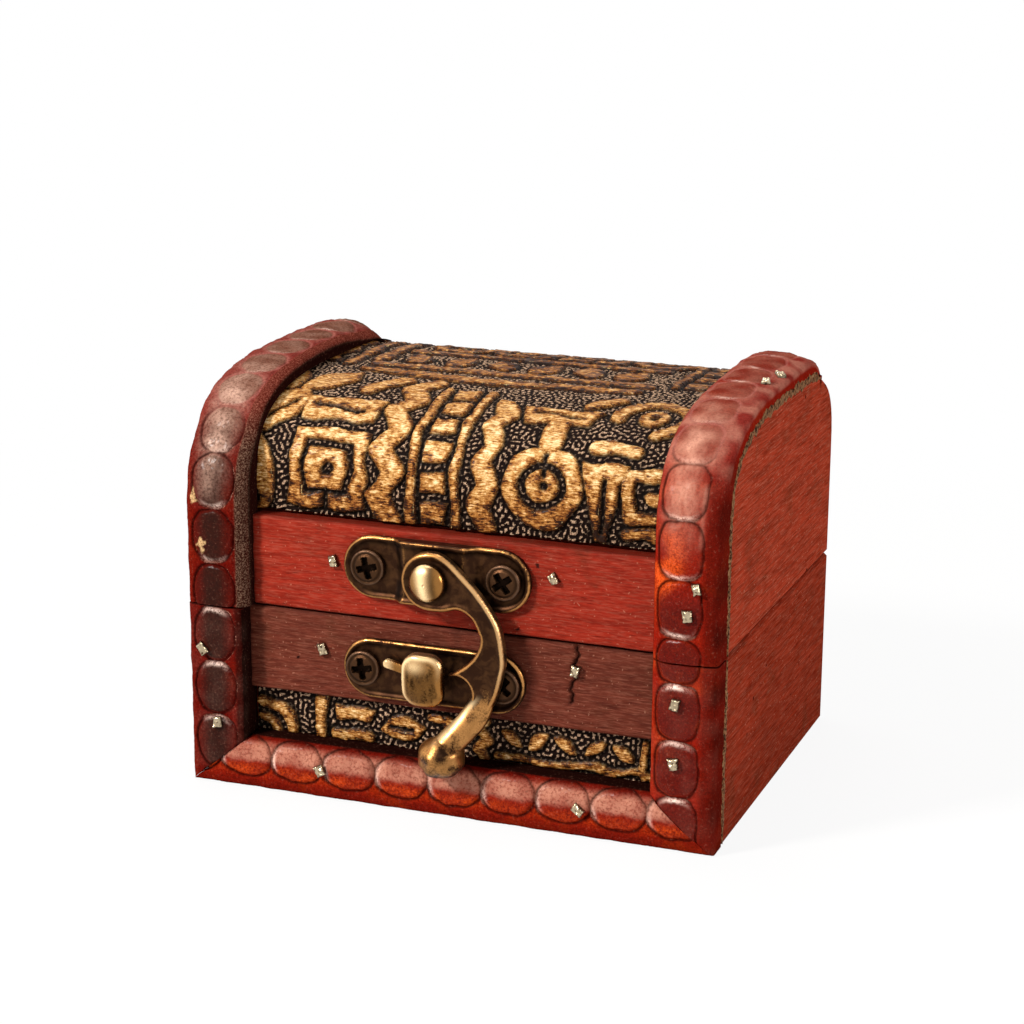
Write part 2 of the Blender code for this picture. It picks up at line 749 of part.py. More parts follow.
def arm_outline():
    """Return the hook arm's outline round the pivot, as a closed curve drawn smoothly through its shares."""
    marks = np.array(ARM_SHARES) * HOOK_DROP
    count = len(marks)
    outline = []
    for index in range(count):
        before, here, after, later = (marks[(index + step) % count] for step in (-1, 0, 1, 2))
        for step in range(ARM_STEPS):
            share = step / ARM_STEPS
            bend = (after - before) * share
            bend += (2 * before - 5 * here + 4 * after - later) * share**2
            bend += (3 * here - before - 3 * after + later) * share**3
            outline.append(tuple(here + bend / 2))
    return outline


def build_hook(lid):
    """Build the swing hook: a flat eye and curved arm, bitten by the catch notch, with a ball at its end."""
    half = HOOK_THICKNESS / 2
    arm = prism_mesh("swing_hook", arm_outline(), "Y", -half, half)
    hook = add("swing_hook", arm, antique_brass("swing_hook"), place=PIVOT)
    soften(hook, HOOK_EDGE, 1, math.radians(60))
    side = half - EYE_SINK
    rim = side - HOOK_EDGE
    eye_inner = EYE_RADIUS - HOOK_EDGE
    eye_profile = [
        (-side, 0), (-side, eye_inner), (-rim, EYE_RADIUS), (rim, EYE_RADIUS), (side, eye_inner), (side, 0),
    ]
    eye = add("hook_eye", turned_mesh("hook_eye", eye_profile, 2 * ROUND_SIDES), guide(), place=PIVOT)
    turns = [math.pi * ring / BALL_RINGS for ring in range(BALL_RINGS + 1)]
    ball_profile = [(-BALL_RADIUS, 0)]
    for turn in turns[1:-1]:
        ball_profile.append((-BALL_RADIUS * math.cos(turn), BALL_RADIUS * math.sin(turn)))
    ball_profile.append((BALL_RADIUS, 0))
    ball = add("hook_ball", turned_mesh("hook_ball", ball_profile, ROUND_SIDES), guide())
    ball.location = PIVOT + Vector((HOOK_DROP * BALL_SHARES[0], -BALL_LEAN, HOOK_DROP * BALL_SHARES[1]))
    reach = HOOK_THICKNESS + CUT_OVERRUN
    notch_profile = [(-reach, 0), (-reach, NOTCH_RADIUS), (reach, NOTCH_RADIUS), (reach, 0)]
    notch = add("hook_notch", turned_mesh("hook_notch", notch_profile, 2 * ROUND_SIDES), guide())
    notch.location = PIVOT + Vector((HOOK_DROP * NOTCH_SHARES[0], 0, HOOK_DROP * NOTCH_SHARES[1]))
    combine(hook, eye, "UNION")
    combine(hook, ball, "UNION")
    combine(hook, notch, "DIFFERENCE")
    front = Vector((PIVOT.x, HOOK_FACE, PIVOT.z))
    bore("hook_bore", front, RIVET_RADIUS + CLEARANCE, reach, [hook], sides=ROUND_SIDES)
    for item in (hook, eye, ball, notch):
        attach(item, lid)
    return hook


def build_rivet(lid, targets):
    """Build the rivet that the hook swings on."""
    seat = Vector((PIVOT.x, HOOK_FACE - CLEARANCE, PIVOT.z))
    length = SCREW_TIP - seat.y
    mesh = headed_pin_mesh(
        "hook_rivet", RIVET_RADIUS, length, RIVET_HEAD_RADIUS, RIVET_HEAD_HEIGHT, ROUND_SIDES
    )
    add("hook_rivet", mesh, bright_brass("hook_rivet"), lid, seat)
    bore("rivet_bore", seat, RIVET_RADIUS + CLEARANCE, length + CLEARANCE, targets)


def build_plate_screws(name, centre_x, height, spacing, targets, parent=None):
    """Build the two screws that hold a hasp plate."""
    seat = PLATE_FACE - CLEARANCE
    length = SCREW_TIP - seat
    mesh = headed_pin_mesh(name, SCREW_RADIUS, length, SCREW_HEAD_RADIUS, SCREW_HEAD_HEIGHT, ROUND_SIDES)
    for side, sign in (("left", -1), ("right", 1)):
        place = Vector((centre_x + sign * spacing / 2, seat, height))
        label = f"{name}_{side}"
        add(label, mesh, dark_steel(label), parent, place)
        bore(f"{label}_bore", place, SCREW_RADIUS + CLEARANCE, length + CLEARANCE, targets)


def build_brad(name, place, targets, parent=None):
    """Build one brad: a round shank joined to an oblong head, and drill its hole."""
    length = PANEL_FRONT + BRAD_BITE - place.y
    shank = [(-length, 0), (-length, BRAD_RADIUS), (0, BRAD_RADIUS), (0, 0)]
    brad = add(name, turned_mesh(name, shank, SMALL_SIDES), bright_brass(name), place=place)
    half = (BRAD_HEAD_WIDTH / 2, BRAD_HEAD_HEIGHT / 2)
    outline = [(-half[0], -half[1]), (half[0], -half[1]), (half[0], half[1]), (-half[0], half[1])]
    head = prism(f"{name}_head", outline, "Y", -BRAD_HEAD_THICKNESS, BRAD_EDGE, guide())
    soften(head, BRAD_EDGE)
    head.location = place
    combine(brad, head, "UNION")
    bore(f"{name}_bore", place, BRAD_RADIUS + CLEARANCE, length + CLEARANCE, targets)
    if parent:
        attach(brad, parent)
        attach(head, parent)


def build_leaf(name, centre_x, lower, parent=None):
    """Build a hinge leaf: a plate with rolled knuckles, relieved where the other leaf's knuckles turn.

    The leaf's width is six equal sixths: the lower leaf has the outer two knuckles, the upper one the middle.
    """
    outer, middle = [(-3, -1), (1, 3)], [(-1, 1)]
    knuckles, reliefs = (outer, middle) if lower else (middle, outer)
    sixth = LEAF_WIDTH / 6
    plate_low = BACK + CLEARANCE
    plate_high = plate_low + LEAF_THICKNESS
    edge = SEAM_HEIGHT + (-LEAF_HEIGHT if lower else LEAF_HEIGHT)
    outline = [(plate_low, SEAM_HEIGHT), (plate_high, SEAM_HEIGHT), (plate_high, edge), (plate_low, edge)]
    start = centre_x - 3 * sixth
    leaf = prism(name, outline, "X", start, centre_x + 3 * sixth, antique_brass(name))
    axis = Vector((centre_x, HINGE_Y, SEAM_HEIGHT))
    reach = KNUCKLE_RADIUS + CLEARANCE
    relief = [
        (plate_low - CUT_OVERRUN, SEAM_HEIGHT - reach),
        (plate_high + CUT_OVERRUN, SEAM_HEIGHT - reach),
        (plate_high + CUT_OVERRUN, SEAM_HEIGHT + reach),
        (plate_low - CUT_OVERRUN, SEAM_HEIGHT + reach),
    ]
    for index, (first, last) in enumerate(reliefs):
        low = centre_x + first * sixth - CLEARANCE / 2
        high = centre_x + last * sixth + CLEARANCE / 2
        combine(leaf, prism(f"{name}_relief_{index}", relief, "X", low, high, guide()), "DIFFERENCE")
    for index, (first, last) in enumerate(knuckles):
        low = first * sixth + (CLEARANCE / 2 if first > -3 else 0)
        high = last * sixth - (CLEARANCE / 2 if last < 3 else 0)
        profile = [(low, 0), (low, KNUCKLE_RADIUS), (high, KNUCKLE_RADIUS), (high, 0)]
        label = f"{name}_knuckle_{index}"
        knuckle = add(label, turned_mesh(label, profile, ROUND_SIDES, SIDEWAYS), guide(), place=axis)
        combine(leaf, knuckle, "UNION")
    end = axis - SIDEWAYS * 3 * sixth
    bore(f"{name}_bore", end, PIN_RADIUS + PIN_CLEARANCE, LEAF_WIDTH + CUT_OVERRUN, [leaf], SIDEWAYS)
    if parent:
        attach(leaf, parent)
    return leaf


def build_hinge(side, lid, base_back, lid_back):
    """Build one hinge: two leaves, the pin through their knuckles, and four screws."""
    sign = -1 if side == "left" else 1
    centre = sign * HINGE_SPREAD / 2
    mesh = headed_pin_mesh(
        "hinge_screw",
        HINGE_SCREW_RADIUS,
        HINGE_SCREW_BITE + LEAF_THICKNESS + 2 * CLEARANCE,
        HINGE_SCREW_HEAD_RADIUS,
        HINGE_SCREW_HEAD_HEIGHT,
        SMALL_SIDES,
    )
    for part, parent, wood, up in (("base", None, base_back, -1), ("lid", lid, lid_back, 1)):
        leaf = build_leaf(f"hinge_{side}_{part}_leaf", centre, part == "base", parent)
        for number, shift in ((1, -1), (2, 1)):
            place = Vector((
                centre + shift * HINGE_SCREW_SPACING / 2,
                BACK + LEAF_THICKNESS + 2 * CLEARANCE,
                SEAM_HEIGHT + up * LEAF_HEIGHT * HINGE_SCREW_SHARE,
            ))
            name = f"hinge_{side}_{part}_screw_{number}"
            screw = add(name, mesh, dark_steel(name), place=place)
            screw.rotation_euler.z = math.pi
            if parent:
                attach(screw, parent)
            depth = HINGE_SCREW_BITE + LEAF_THICKNESS + 3 * CLEARANCE
            bore(f"{name}_bore", place, HINGE_SCREW_RADIUS + CLEARANCE, depth, [leaf, wood], FORWARD)
    half = LEAF_WIDTH / 2 + CLEARANCE
    profile = [
        (-half - PIN_HEAD, 0),
        (-half - PIN_HEAD, PIN_HEAD_RADIUS),
        (-half, PIN_HEAD_RADIUS),
        (-half, PIN_RADIUS),
        (half, PIN_RADIUS),
        (half, PIN_HEAD_RADIUS),
        (half + PIN_HEAD, PIN_HEAD_RADIUS),
        (half + PIN_HEAD, 0),
    ]
    name = f"hinge_{side}_pin"
    axis = Vector((centre, HINGE_Y, SEAM_HEIGHT))
    add(name, turned_mesh(name, profile, SMALL_SIDES, SIDEWAYS), antique_brass(name), place=axis)


def rail_brads(name, shares, span, rise, targets, parent=None):
    """Build a rail's two brads between the ends of the plate, given by its middle and reach, and of the rail."""
    middle, reach = span
    for number, (sign, (along, up)) in enumerate(zip((-1, 1), shares), 1):
        end = sign * middle + reach
        across = sign * (end + along * (RAIL_SIDE - end))
        place = Vector((across, RAIL_FACE - CLEARANCE, rise[0] + up * rise[1]))
        build_brad(f"{name}_{number}", place, targets, parent)


def build_brads(lid, boards, rails, base_trims, bottom_trim, lid_trim):
    """Build the brads that show: two in each rail, each base trim and the right lid trim."""
    base_front, lid_front = boards
    base_rail, lid_rail = rails
    low = SEAM_HEIGHT - BASE_RAIL_HEIGHT
    span = (CATCH_PLATE_X, CATCH_PLATE_LENGTH / 2)
    rail_brads("base_rail_brad", BASE_RAIL_BRAD_SHARES, span, (low, BASE_RAIL_HEIGHT), [base_rail, base_front])
    span = (HASP_OFFSET, HOOK_PLATE_LENGTH / 2)
    rise = (SEAM_HEIGHT, LID_RAIL_HEIGHT)
    rail_brads("lid_rail_brad", LID_RAIL_BRAD_SHARES, span, rise, [lid_rail, lid_front], lid)
    seat = FRONT - CLEARANCE
    for side, sign in (("left", -1), ("right", 1)):
        for number, (across, up) in enumerate(BASE_TRIM_BRAD_SHARES[side], 1):
            place = Vector((sign * (TRIM_INNER + across * TRIM_WIDTH), seat, up * SEAM_HEIGHT))
            targets = [base_trims[side], bpy.data.objects[f"base_{side}_board"], base_front]
            build_brad(f"base_{side}_brad_{number}", place, targets)
    for number, (across, up) in enumerate(BOTTOM_TRIM_BRAD_SHARES, 1):
        place = Vector((across * BOX_WIDTH, seat, up * BOTTOM_TRIM_HEIGHT))
        build_brad(f"bottom_brad_{number}", place, [bottom_trim, base_front])
    for number, (across, up) in enumerate(LID_TRIM_BRAD_SHARES, 1):
        place = Vector((TRIM_INNER + across * TRIM_WIDTH, seat, SEAM_HEIGHT + up * TRIM_SPRING))
        targets = [lid_trim, bpy.data.objects["lid_right_end"], lid_front]
        build_brad(f"lid_right_brad_{number}", place, targets, lid)


def empty_at(name, place):
    """Add an empty that marks a joint's axis."""
    marker = bpy.data.objects.new(name, None)
    marker.location = place
    bpy.context.scene.collection.objects.link(marker)
    return marker


def main():
    """Build the whole box at rest: lid down, hook hanging just beside its post."""
    clear_scene()
    lid = empty_at("lid_axis", Vector((0, HINGE_Y, SEAM_HEIGHT)))
    base_front, base_back = build_carcass()
    base_rail, base_trims, bottom_trim = build_base_front()
    lid_front, lid_back, lid_rail = build_lid_shell(lid)
    lid_trims = build_lid_trims(lid)
    hook_plate = build_hook_plate(lid)
    catch_plate = build_catch_plate()
    build_hook(lid)
    build_rivet(lid, [hook_plate, lid_rail, lid_front])
    build_post([catch_plate, base_rail, base_front])
    build_plate_screws(
        "hook_screw", HASP_OFFSET, HOOK_PLATE_Z, HOOK_SCREW_SPACING, [hook_plate, lid_rail, lid_front], lid
    )
    build_plate_screws(
        "catch_screw", CATCH_PLATE_X, CATCH_PLATE_Z, CATCH_SCREW_SPACING, [catch_plate, base_rail, base_front]
    )
    for side in ("left", "right"):
        build_hinge(side, lid, base_back, lid_back)
    build_brads(
        lid, (base_front, lid_front), (base_rail, lid_rail), base_trims, bottom_trim, lid_trims["right"]
    )


if __name__ == "__main__":
    main()
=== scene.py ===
"""Dress the wooden jewelry box: carved lacquered trims, tooled leather, stained boards and a brass hasp."""

import logging
import math
from dataclasses import dataclass, field
from enum import Enum
from typing import Callable, Mapping, Sequence, Union

import bpy
import numpy as np
from mathutils import Matrix, Vector


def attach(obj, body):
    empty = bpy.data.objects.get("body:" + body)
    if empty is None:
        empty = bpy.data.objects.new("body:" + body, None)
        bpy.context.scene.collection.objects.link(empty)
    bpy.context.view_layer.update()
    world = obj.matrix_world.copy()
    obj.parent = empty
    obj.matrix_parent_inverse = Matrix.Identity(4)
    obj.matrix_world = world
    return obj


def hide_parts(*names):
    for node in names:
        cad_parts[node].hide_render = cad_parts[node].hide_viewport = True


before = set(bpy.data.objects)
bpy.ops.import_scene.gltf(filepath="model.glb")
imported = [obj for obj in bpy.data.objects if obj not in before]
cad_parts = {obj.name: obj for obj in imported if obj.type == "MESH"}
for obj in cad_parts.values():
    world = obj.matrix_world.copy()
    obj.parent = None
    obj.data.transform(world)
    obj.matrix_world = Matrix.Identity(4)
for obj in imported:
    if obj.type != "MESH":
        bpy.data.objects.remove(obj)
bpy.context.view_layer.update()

LOG = logging.getLogger("jewelry_box")
MM = 0.001
Array = np.ndarray
Colour = tuple[float, float, float]
Point = tuple[float, float, float]
Spot = tuple[float, float]
Values = dict[str, Array]
Field = Callable[[Array, Array], Array]
Face = Callable[[Array, Array, Array], tuple[Array, Values]]
Tree = bpy.types.NodeTree
Node = bpy.types.Node
Socket = bpy.types.NodeSocket
Sockets = Mapping[str, Socket]
Feed = Union[Socket, float, Sequence[float]]
Finish = bpy.types.Material
Piece = bpy.types.Object


def colour(code: str) -> Colour:
    """Return the linear colour of a six-digit code as a screen shows it."""
    parts = [int(code[start:start + 2], 16) / 255 for start in (0, 2, 4)]
    return tuple(part / 12.92 if part <= 0.04045 else ((part + 0.055) / 1.055) ** 2.4 for part in parts)


def smooth(low: float, high: float, value: Array) -> Array:
    """Return a soft step from 0 at low to 1 at high."""
    share = np.clip((value - low) / (high - low), 0.0, 1.0)
    return share * share * (3.0 - 2.0 * share)


def bell(value: Array, width: float) -> Array:
    """Return a bell of height 1 about zero."""
    return np.exp(-((value / width) ** 2))


class NoiseTable:
    """A tileable table of smooth noise with one wavelength, read at any scale."""

    SIZE = 512
    WAVES = 32

    def __init__(self, seed: int, spread: float = 0.5) -> None:
        """Fill the table.

        Args:
            seed: picks the pattern.
            spread: how far wavelengths stray from the chosen one, as a share of it.
        """
        generator = np.random.default_rng(seed)
        spectrum = np.fft.fft2(generator.normal(size=(self.SIZE, self.SIZE)))
        rate = np.fft.fftfreq(self.SIZE) * self.SIZE
        radius = np.hypot(rate[:, None], rate[None, :])
        spectrum *= bell(radius - self.WAVES, self.WAVES * spread)
        table = np.real(np.fft.ifft2(spectrum))
        self.table = table / table.std()

    def at(self, first: Array, second: Array, wavelength: float) -> Array:
        """Return the noise at two coordinates, about -2 to 2.

        Args:
            first: one coordinate, in millimetres.
            second: the other coordinate.
            wavelength: the noise's main wavelength, in millimetres.

        Returns:
            The noise, in the shape of the coordinates.
        """
        scale = self.SIZE / self.WAVES / wavelength
        rows, columns = np.asarray(first) * scale, np.asarray(second) * scale
        low_row, low_column = np.floor(rows).astype(int), np.floor(columns).astype(int)
        part_row, part_column = rows - low_row, columns - low_column
        total = 0.0
        for row, row_share in ((low_row, 1 - part_row), (low_row + 1, part_row)):
            for column, column_share in ((low_column, 1 - part_column), (low_column + 1, part_column)):
                total = total + self.table[row % self.SIZE, column % self.SIZE] * row_share * column_share
        return total


WANDER = NoiseTable(11, 0.6)
SPECKLE = NoiseTable(23, 0.9)
RIDGES = NoiseTable(37, 0.22)


class MeshMaker:
    """Gathers grids of points in millimetres, with values at the points, into one mesh."""

    def __init__(self, name: str) -> None:
        """Start an empty mesh of that name.

        Args:
            name: the name.
        """
        self.name = name
        self.points: list[Array] = []
        self.faces: list[Array] = []
        self.triangles: list[Array] = []
        self.values: list[Values] = []
        self.count = 0

    def add(self, points: Array, quads: Array, triangles: Array, values: Values) -> None:
        """Add loose points and faces.

        Args:
            points: one row of three coordinates for each point.
            quads: four indices for each quad, from 0 in these points.
            triangles: three indices for each triangle.
            values: a number for each point under each name.
        """
        self.points.append(points)
        self.faces.append(quads + self.count)
        self.triangles.append(triangles + self.count)
        self.values.append({key: np.asarray(value).ravel() for key, value in values.items()})
        self.count += len(points)

    def add_grid(self, points: Array, values: Values, flip: bool = False, ring: bool = False) -> None:
        """Add a grid of points, rows by columns by three.

        Args:
            points: the grid.
            values: named numbers, one for each point.
            flip: turn the faces the other way round.
            ring: join the last column to the first.
        """
        rows, columns = points.shape[:2]
        index = np.arange(rows * columns).reshape(rows, columns)
        if ring:
            index = np.concatenate([index, index[:, :1]], axis=1)
        corners = [index[:-1, :-1], index[:-1, 1:], index[1:, 1:], index[1:, :-1]]
        if flip:
            corners.reverse()
        quads = np.stack([corner.ravel() for corner in corners], axis=1)
        self.add(points.reshape(-1, 3), quads, np.empty((0, 3), int), values)

    def build(self, sharp: float) -> Piece:
        """Make the object, smooth but for edges sharper than an angle in degrees.

        Args:
            sharp: the angle.

        Returns:
            The new object, linked to the scene and without a material.
        """
        points = np.concatenate(self.points) * MM
        quads, triangles = np.concatenate(self.faces), np.concatenate(self.triangles)
        mesh = bpy.data.meshes.new(self.name)
        mesh.vertices.add(len(points))
        mesh.vertices.foreach_set("co", points.astype(np.float32).ravel())
        loops = np.concatenate([quads.ravel(), triangles.ravel()]).astype(np.int32)
        mesh.loops.add(len(loops))
        mesh.loops.foreach_set("vertex_index", loops)
        sizes = np.concatenate([np.full(len(quads), 4), np.full(len(triangles), 3)])
        mesh.polygons.add(len(sizes))
        starts = np.concatenate([[0], np.cumsum(sizes)[:-1]]).astype(np.int32)
        mesh.polygons.foreach_set("loop_start", starts)
        mesh.update(calc_edges=True)
        for key in sorted({key for entry in self.values for key in entry}):
            column = [entry.get(key, np.zeros(len(spot))) for entry, spot in zip(self.values, self.points)]
            layer = mesh.attributes.new(key, "FLOAT", "POINT")
            layer.data.foreach_set("value", np.concatenate(column).astype(np.float32))
        mesh.validate()
        mesh.shade_smooth()
        mesh.set_sharp_from_angle(angle=math.radians(sharp))
        item = bpy.data.objects.new(self.name, mesh)
        bpy.context.scene.collection.objects.link(item)
        return item


def turned(maker: MeshMaker, profile: Sequence[Spot], centre: Point, sides: int, polish: Sequence[float]) -> None:
    """Add a surface turned about a line that points to the front.

    Args:
        maker: takes the surface.
        profile: (along, radius) from the back end to the front end, in millimetres.
        centre: where along is zero.
        sides: points round the line.
        polish: the polish at each point of the profile.
    """
    along, radius = (np.array(column)[:, None] for column in zip(*profile))
    angle = np.linspace(0, 2 * math.pi, sides, endpoint=False)[None, :]
    radius = np.maximum(radius, 1e-4)
    grid = np.stack([
        centre[0] + radius * np.cos(angle),
        centre[1] - np.repeat(along, sides, axis=1),
        centre[2] + radius * np.sin(angle),
    ], axis=2)
    maker.add_grid(grid, {"polish": np.repeat(np.array(polish)[:, None], sides, axis=1)}, ring=True)


def stamp(maker: MeshMaker, outline: Field, low: Spot, high: Spot, cell: float, surface: Face, back: float,
          outward: float = -1.0, two_faced: bool = False) -> None:
    """Add a plate whose outline is where a distance field is zero, seen along Y.

    Args:
        maker: takes the plate.
        outline: gives the distance inside the outline at x and z, in millimetres.
        low: the least x and z.
        high: the greatest x and z.
        cell: the grid's pitch.
        surface: gives the front's y and its named values at x, z and the distance inside.
        back: the y where the side walls end.
        outward: -1 if the plate faces the front, 1 if it faces the back.
        two_faced: close the back with a flat copy of the face.
    """
    across = np.arange(low[0] - cell, high[0] + 2 * cell, cell)
    up = np.arange(low[1] - cell, high[1] + 2 * cell, cell)
    x, z = np.meshgrid(across, up, indexing="ij")
    depth = outline(x, z)
    near = np.abs(depth) < 0.62 * cell
    for _ in range(2):
        step = cell / 8
        slope_x = (outline(x + step, z) - outline(x - step, z)) / (2 * step)
        slope_z = (outline(x, z + step) - outline(x, z - step)) / (2 * step)
        size = np.maximum(slope_x**2 + slope_z**2, 0.2)
        x = np.where(near, x - outline(x, z) * slope_x / size, x)
        z = np.where(near, z - outline(x, z) * slope_z / size, z)
    depth = np.where(near, 0.0, depth)
    kept = near | (depth > 0)
    number = np.full(kept.shape, -1)
    number[kept] = np.arange(kept.sum())
    corners = np.stack([number[:-1, :-1], number[1:, :-1], number[1:, 1:], number[:-1, 1:]], axis=-1).reshape(-1, 4)
    present = (corners >= 0).sum(axis=1)
    quads = corners[present == 4]
    partial = corners[present == 3]
    triangles = partial[partial >= 0].reshape(-1, 3)
    if outward > 0:
        quads, triangles = quads[:, ::-1], triangles[:, ::-1]
    x, z, depth = x[kept], z[kept], depth[kept]
    y, named = surface(x, z, depth)
    points = np.stack([x, y, z], axis=1)
    maker.add(points, quads, triangles, named)
    edges = np.concatenate([
        np.stack([quads[:, side], quads[:, (side + 1) % 4]], axis=1) for side in range(4)
    ] + [np.stack([triangles[:, side], triangles[:, (side + 1) % 3]], axis=1) for side in range(3)])
    keys = np.sort(edges, axis=1)
    code = keys[:, 0] * len(points) + keys[:, 1]
    _, first, counts = np.unique(code, return_index=True, return_counts=True)
    rim = edges[first[counts == 1]]
    used, place = np.unique(rim, return_inverse=True)
    place = place.reshape(rim.shape)
    top = points[used]
    bottom = top.copy()
    bottom[:, 1] = back
    wall = np.concatenate([top, bottom])
    count = len(used)
    sides = np.stack([place[:, 1], place[:, 0], place[:, 0] + count, place[:, 1] + count], axis=1)
    doubled = {key: np.concatenate([value[used], value[used]]) for key, value in named.items()}
    maker.add(wall, sides, np.empty((0, 3), int), doubled)
    if two_faced:
        behind = points.copy()
        behind[:, 1] = back
        maker.add(behind, quads[:, ::-1], triangles[:, ::-1], {key: value * 0.3 for key, value in named.items()})


def turned_about(centre: Spot, turn: float, first: Array, second: Array) -> tuple[Array, Array]:
    """Return coordinates from a centre, along and across a direction.

    Args:
        centre: the centre.
        turn: the direction, in radians.
        first: one coordinate.
        second: the other coordinate.

    Returns:
        How far along and how far across each place is.
    """
    right, up = first - centre[0], second - centre[1]
    return right * math.cos(turn) + up * math.sin(turn), up * math.cos(turn) - right * math.sin(turn)


def squared_gap(start: Spot, end: Spot, first: Array, second: Array) -> Array:
    """Return the squared distance from a straight line.

    Args:
        start: the line's first end.
        end: its other end.
        first: one coordinate.
        second: the other coordinate.

    Returns:
        The squared distances.
    """
    run, rise = end[0] - start[0], end[1] - start[1]
    right, up = first - start[0], second - start[1]
    share = np.clip((right * run + up * rise) / max(run**2 + rise**2, 1e-12), 0, 1)
    return (right - share * run) ** 2 + (up - share * rise) ** 2


def stadium_field(centre: Spot, length: float, height: float, turn: float = 0.0) -> Field:
    """Return the distance inside a bar with round ends.

    Args:
        centre: the bar's middle, in x and z.
        length: its whole length.
        height: its height, which its ends' circles share.
        turn: its tilt from level, in radians.

    Returns:
        The field.
    """
    reach = max(length - height, 0.0) / 2

    def inside(x: Array, z: Array) -> Array:
        """Return the distance inside the bar."""
        along, across = turned_about(centre, turn, x, z)
        return height / 2 - np.hypot(np.maximum(np.abs(along) - reach, 0), across)

    return inside


def polygon_field(corners: Array) -> Field:
    """Return the distance inside a closed polygon, given by its corners in x and z.

    Args:
        corners: one row for each corner.

    Returns:
        The field.
    """
    starts = np.asarray(corners, float)
    ends = np.roll(starts, -1, axis=0)

    def inside(x: Array, z: Array) -> Array:
        """Return the distance inside the polygon, negative outside.

        Args:
            x: places across the box.
            z: their heights.

        Returns:
            The distances.
        """
        best = np.full(x.shape, np.inf)
        crossed = np.zeros(x.shape, bool)
        for (ax, az), (bx, bz) in zip(starts, ends):
            best = np.minimum(best, squared_gap((ax, az), (bx, bz), x, z))
            if az != bz:
                meets = (z > min(az, bz)) & (z <= max(az, bz))
                crossed ^= meets & (x < ax + (z - az) * (bx - ax) / (bz - az))
        return np.where(crossed, 1, -1) * np.sqrt(best)

    return inside


def round_edge(depth: Array, radius: float) -> Array:
    """Return how far a rounded edge falls back at a distance inside the outline."""
    short = np.clip(radius - depth, 0, radius)
    return radius - np.sqrt(np.maximum(radius**2 - short**2, 0))


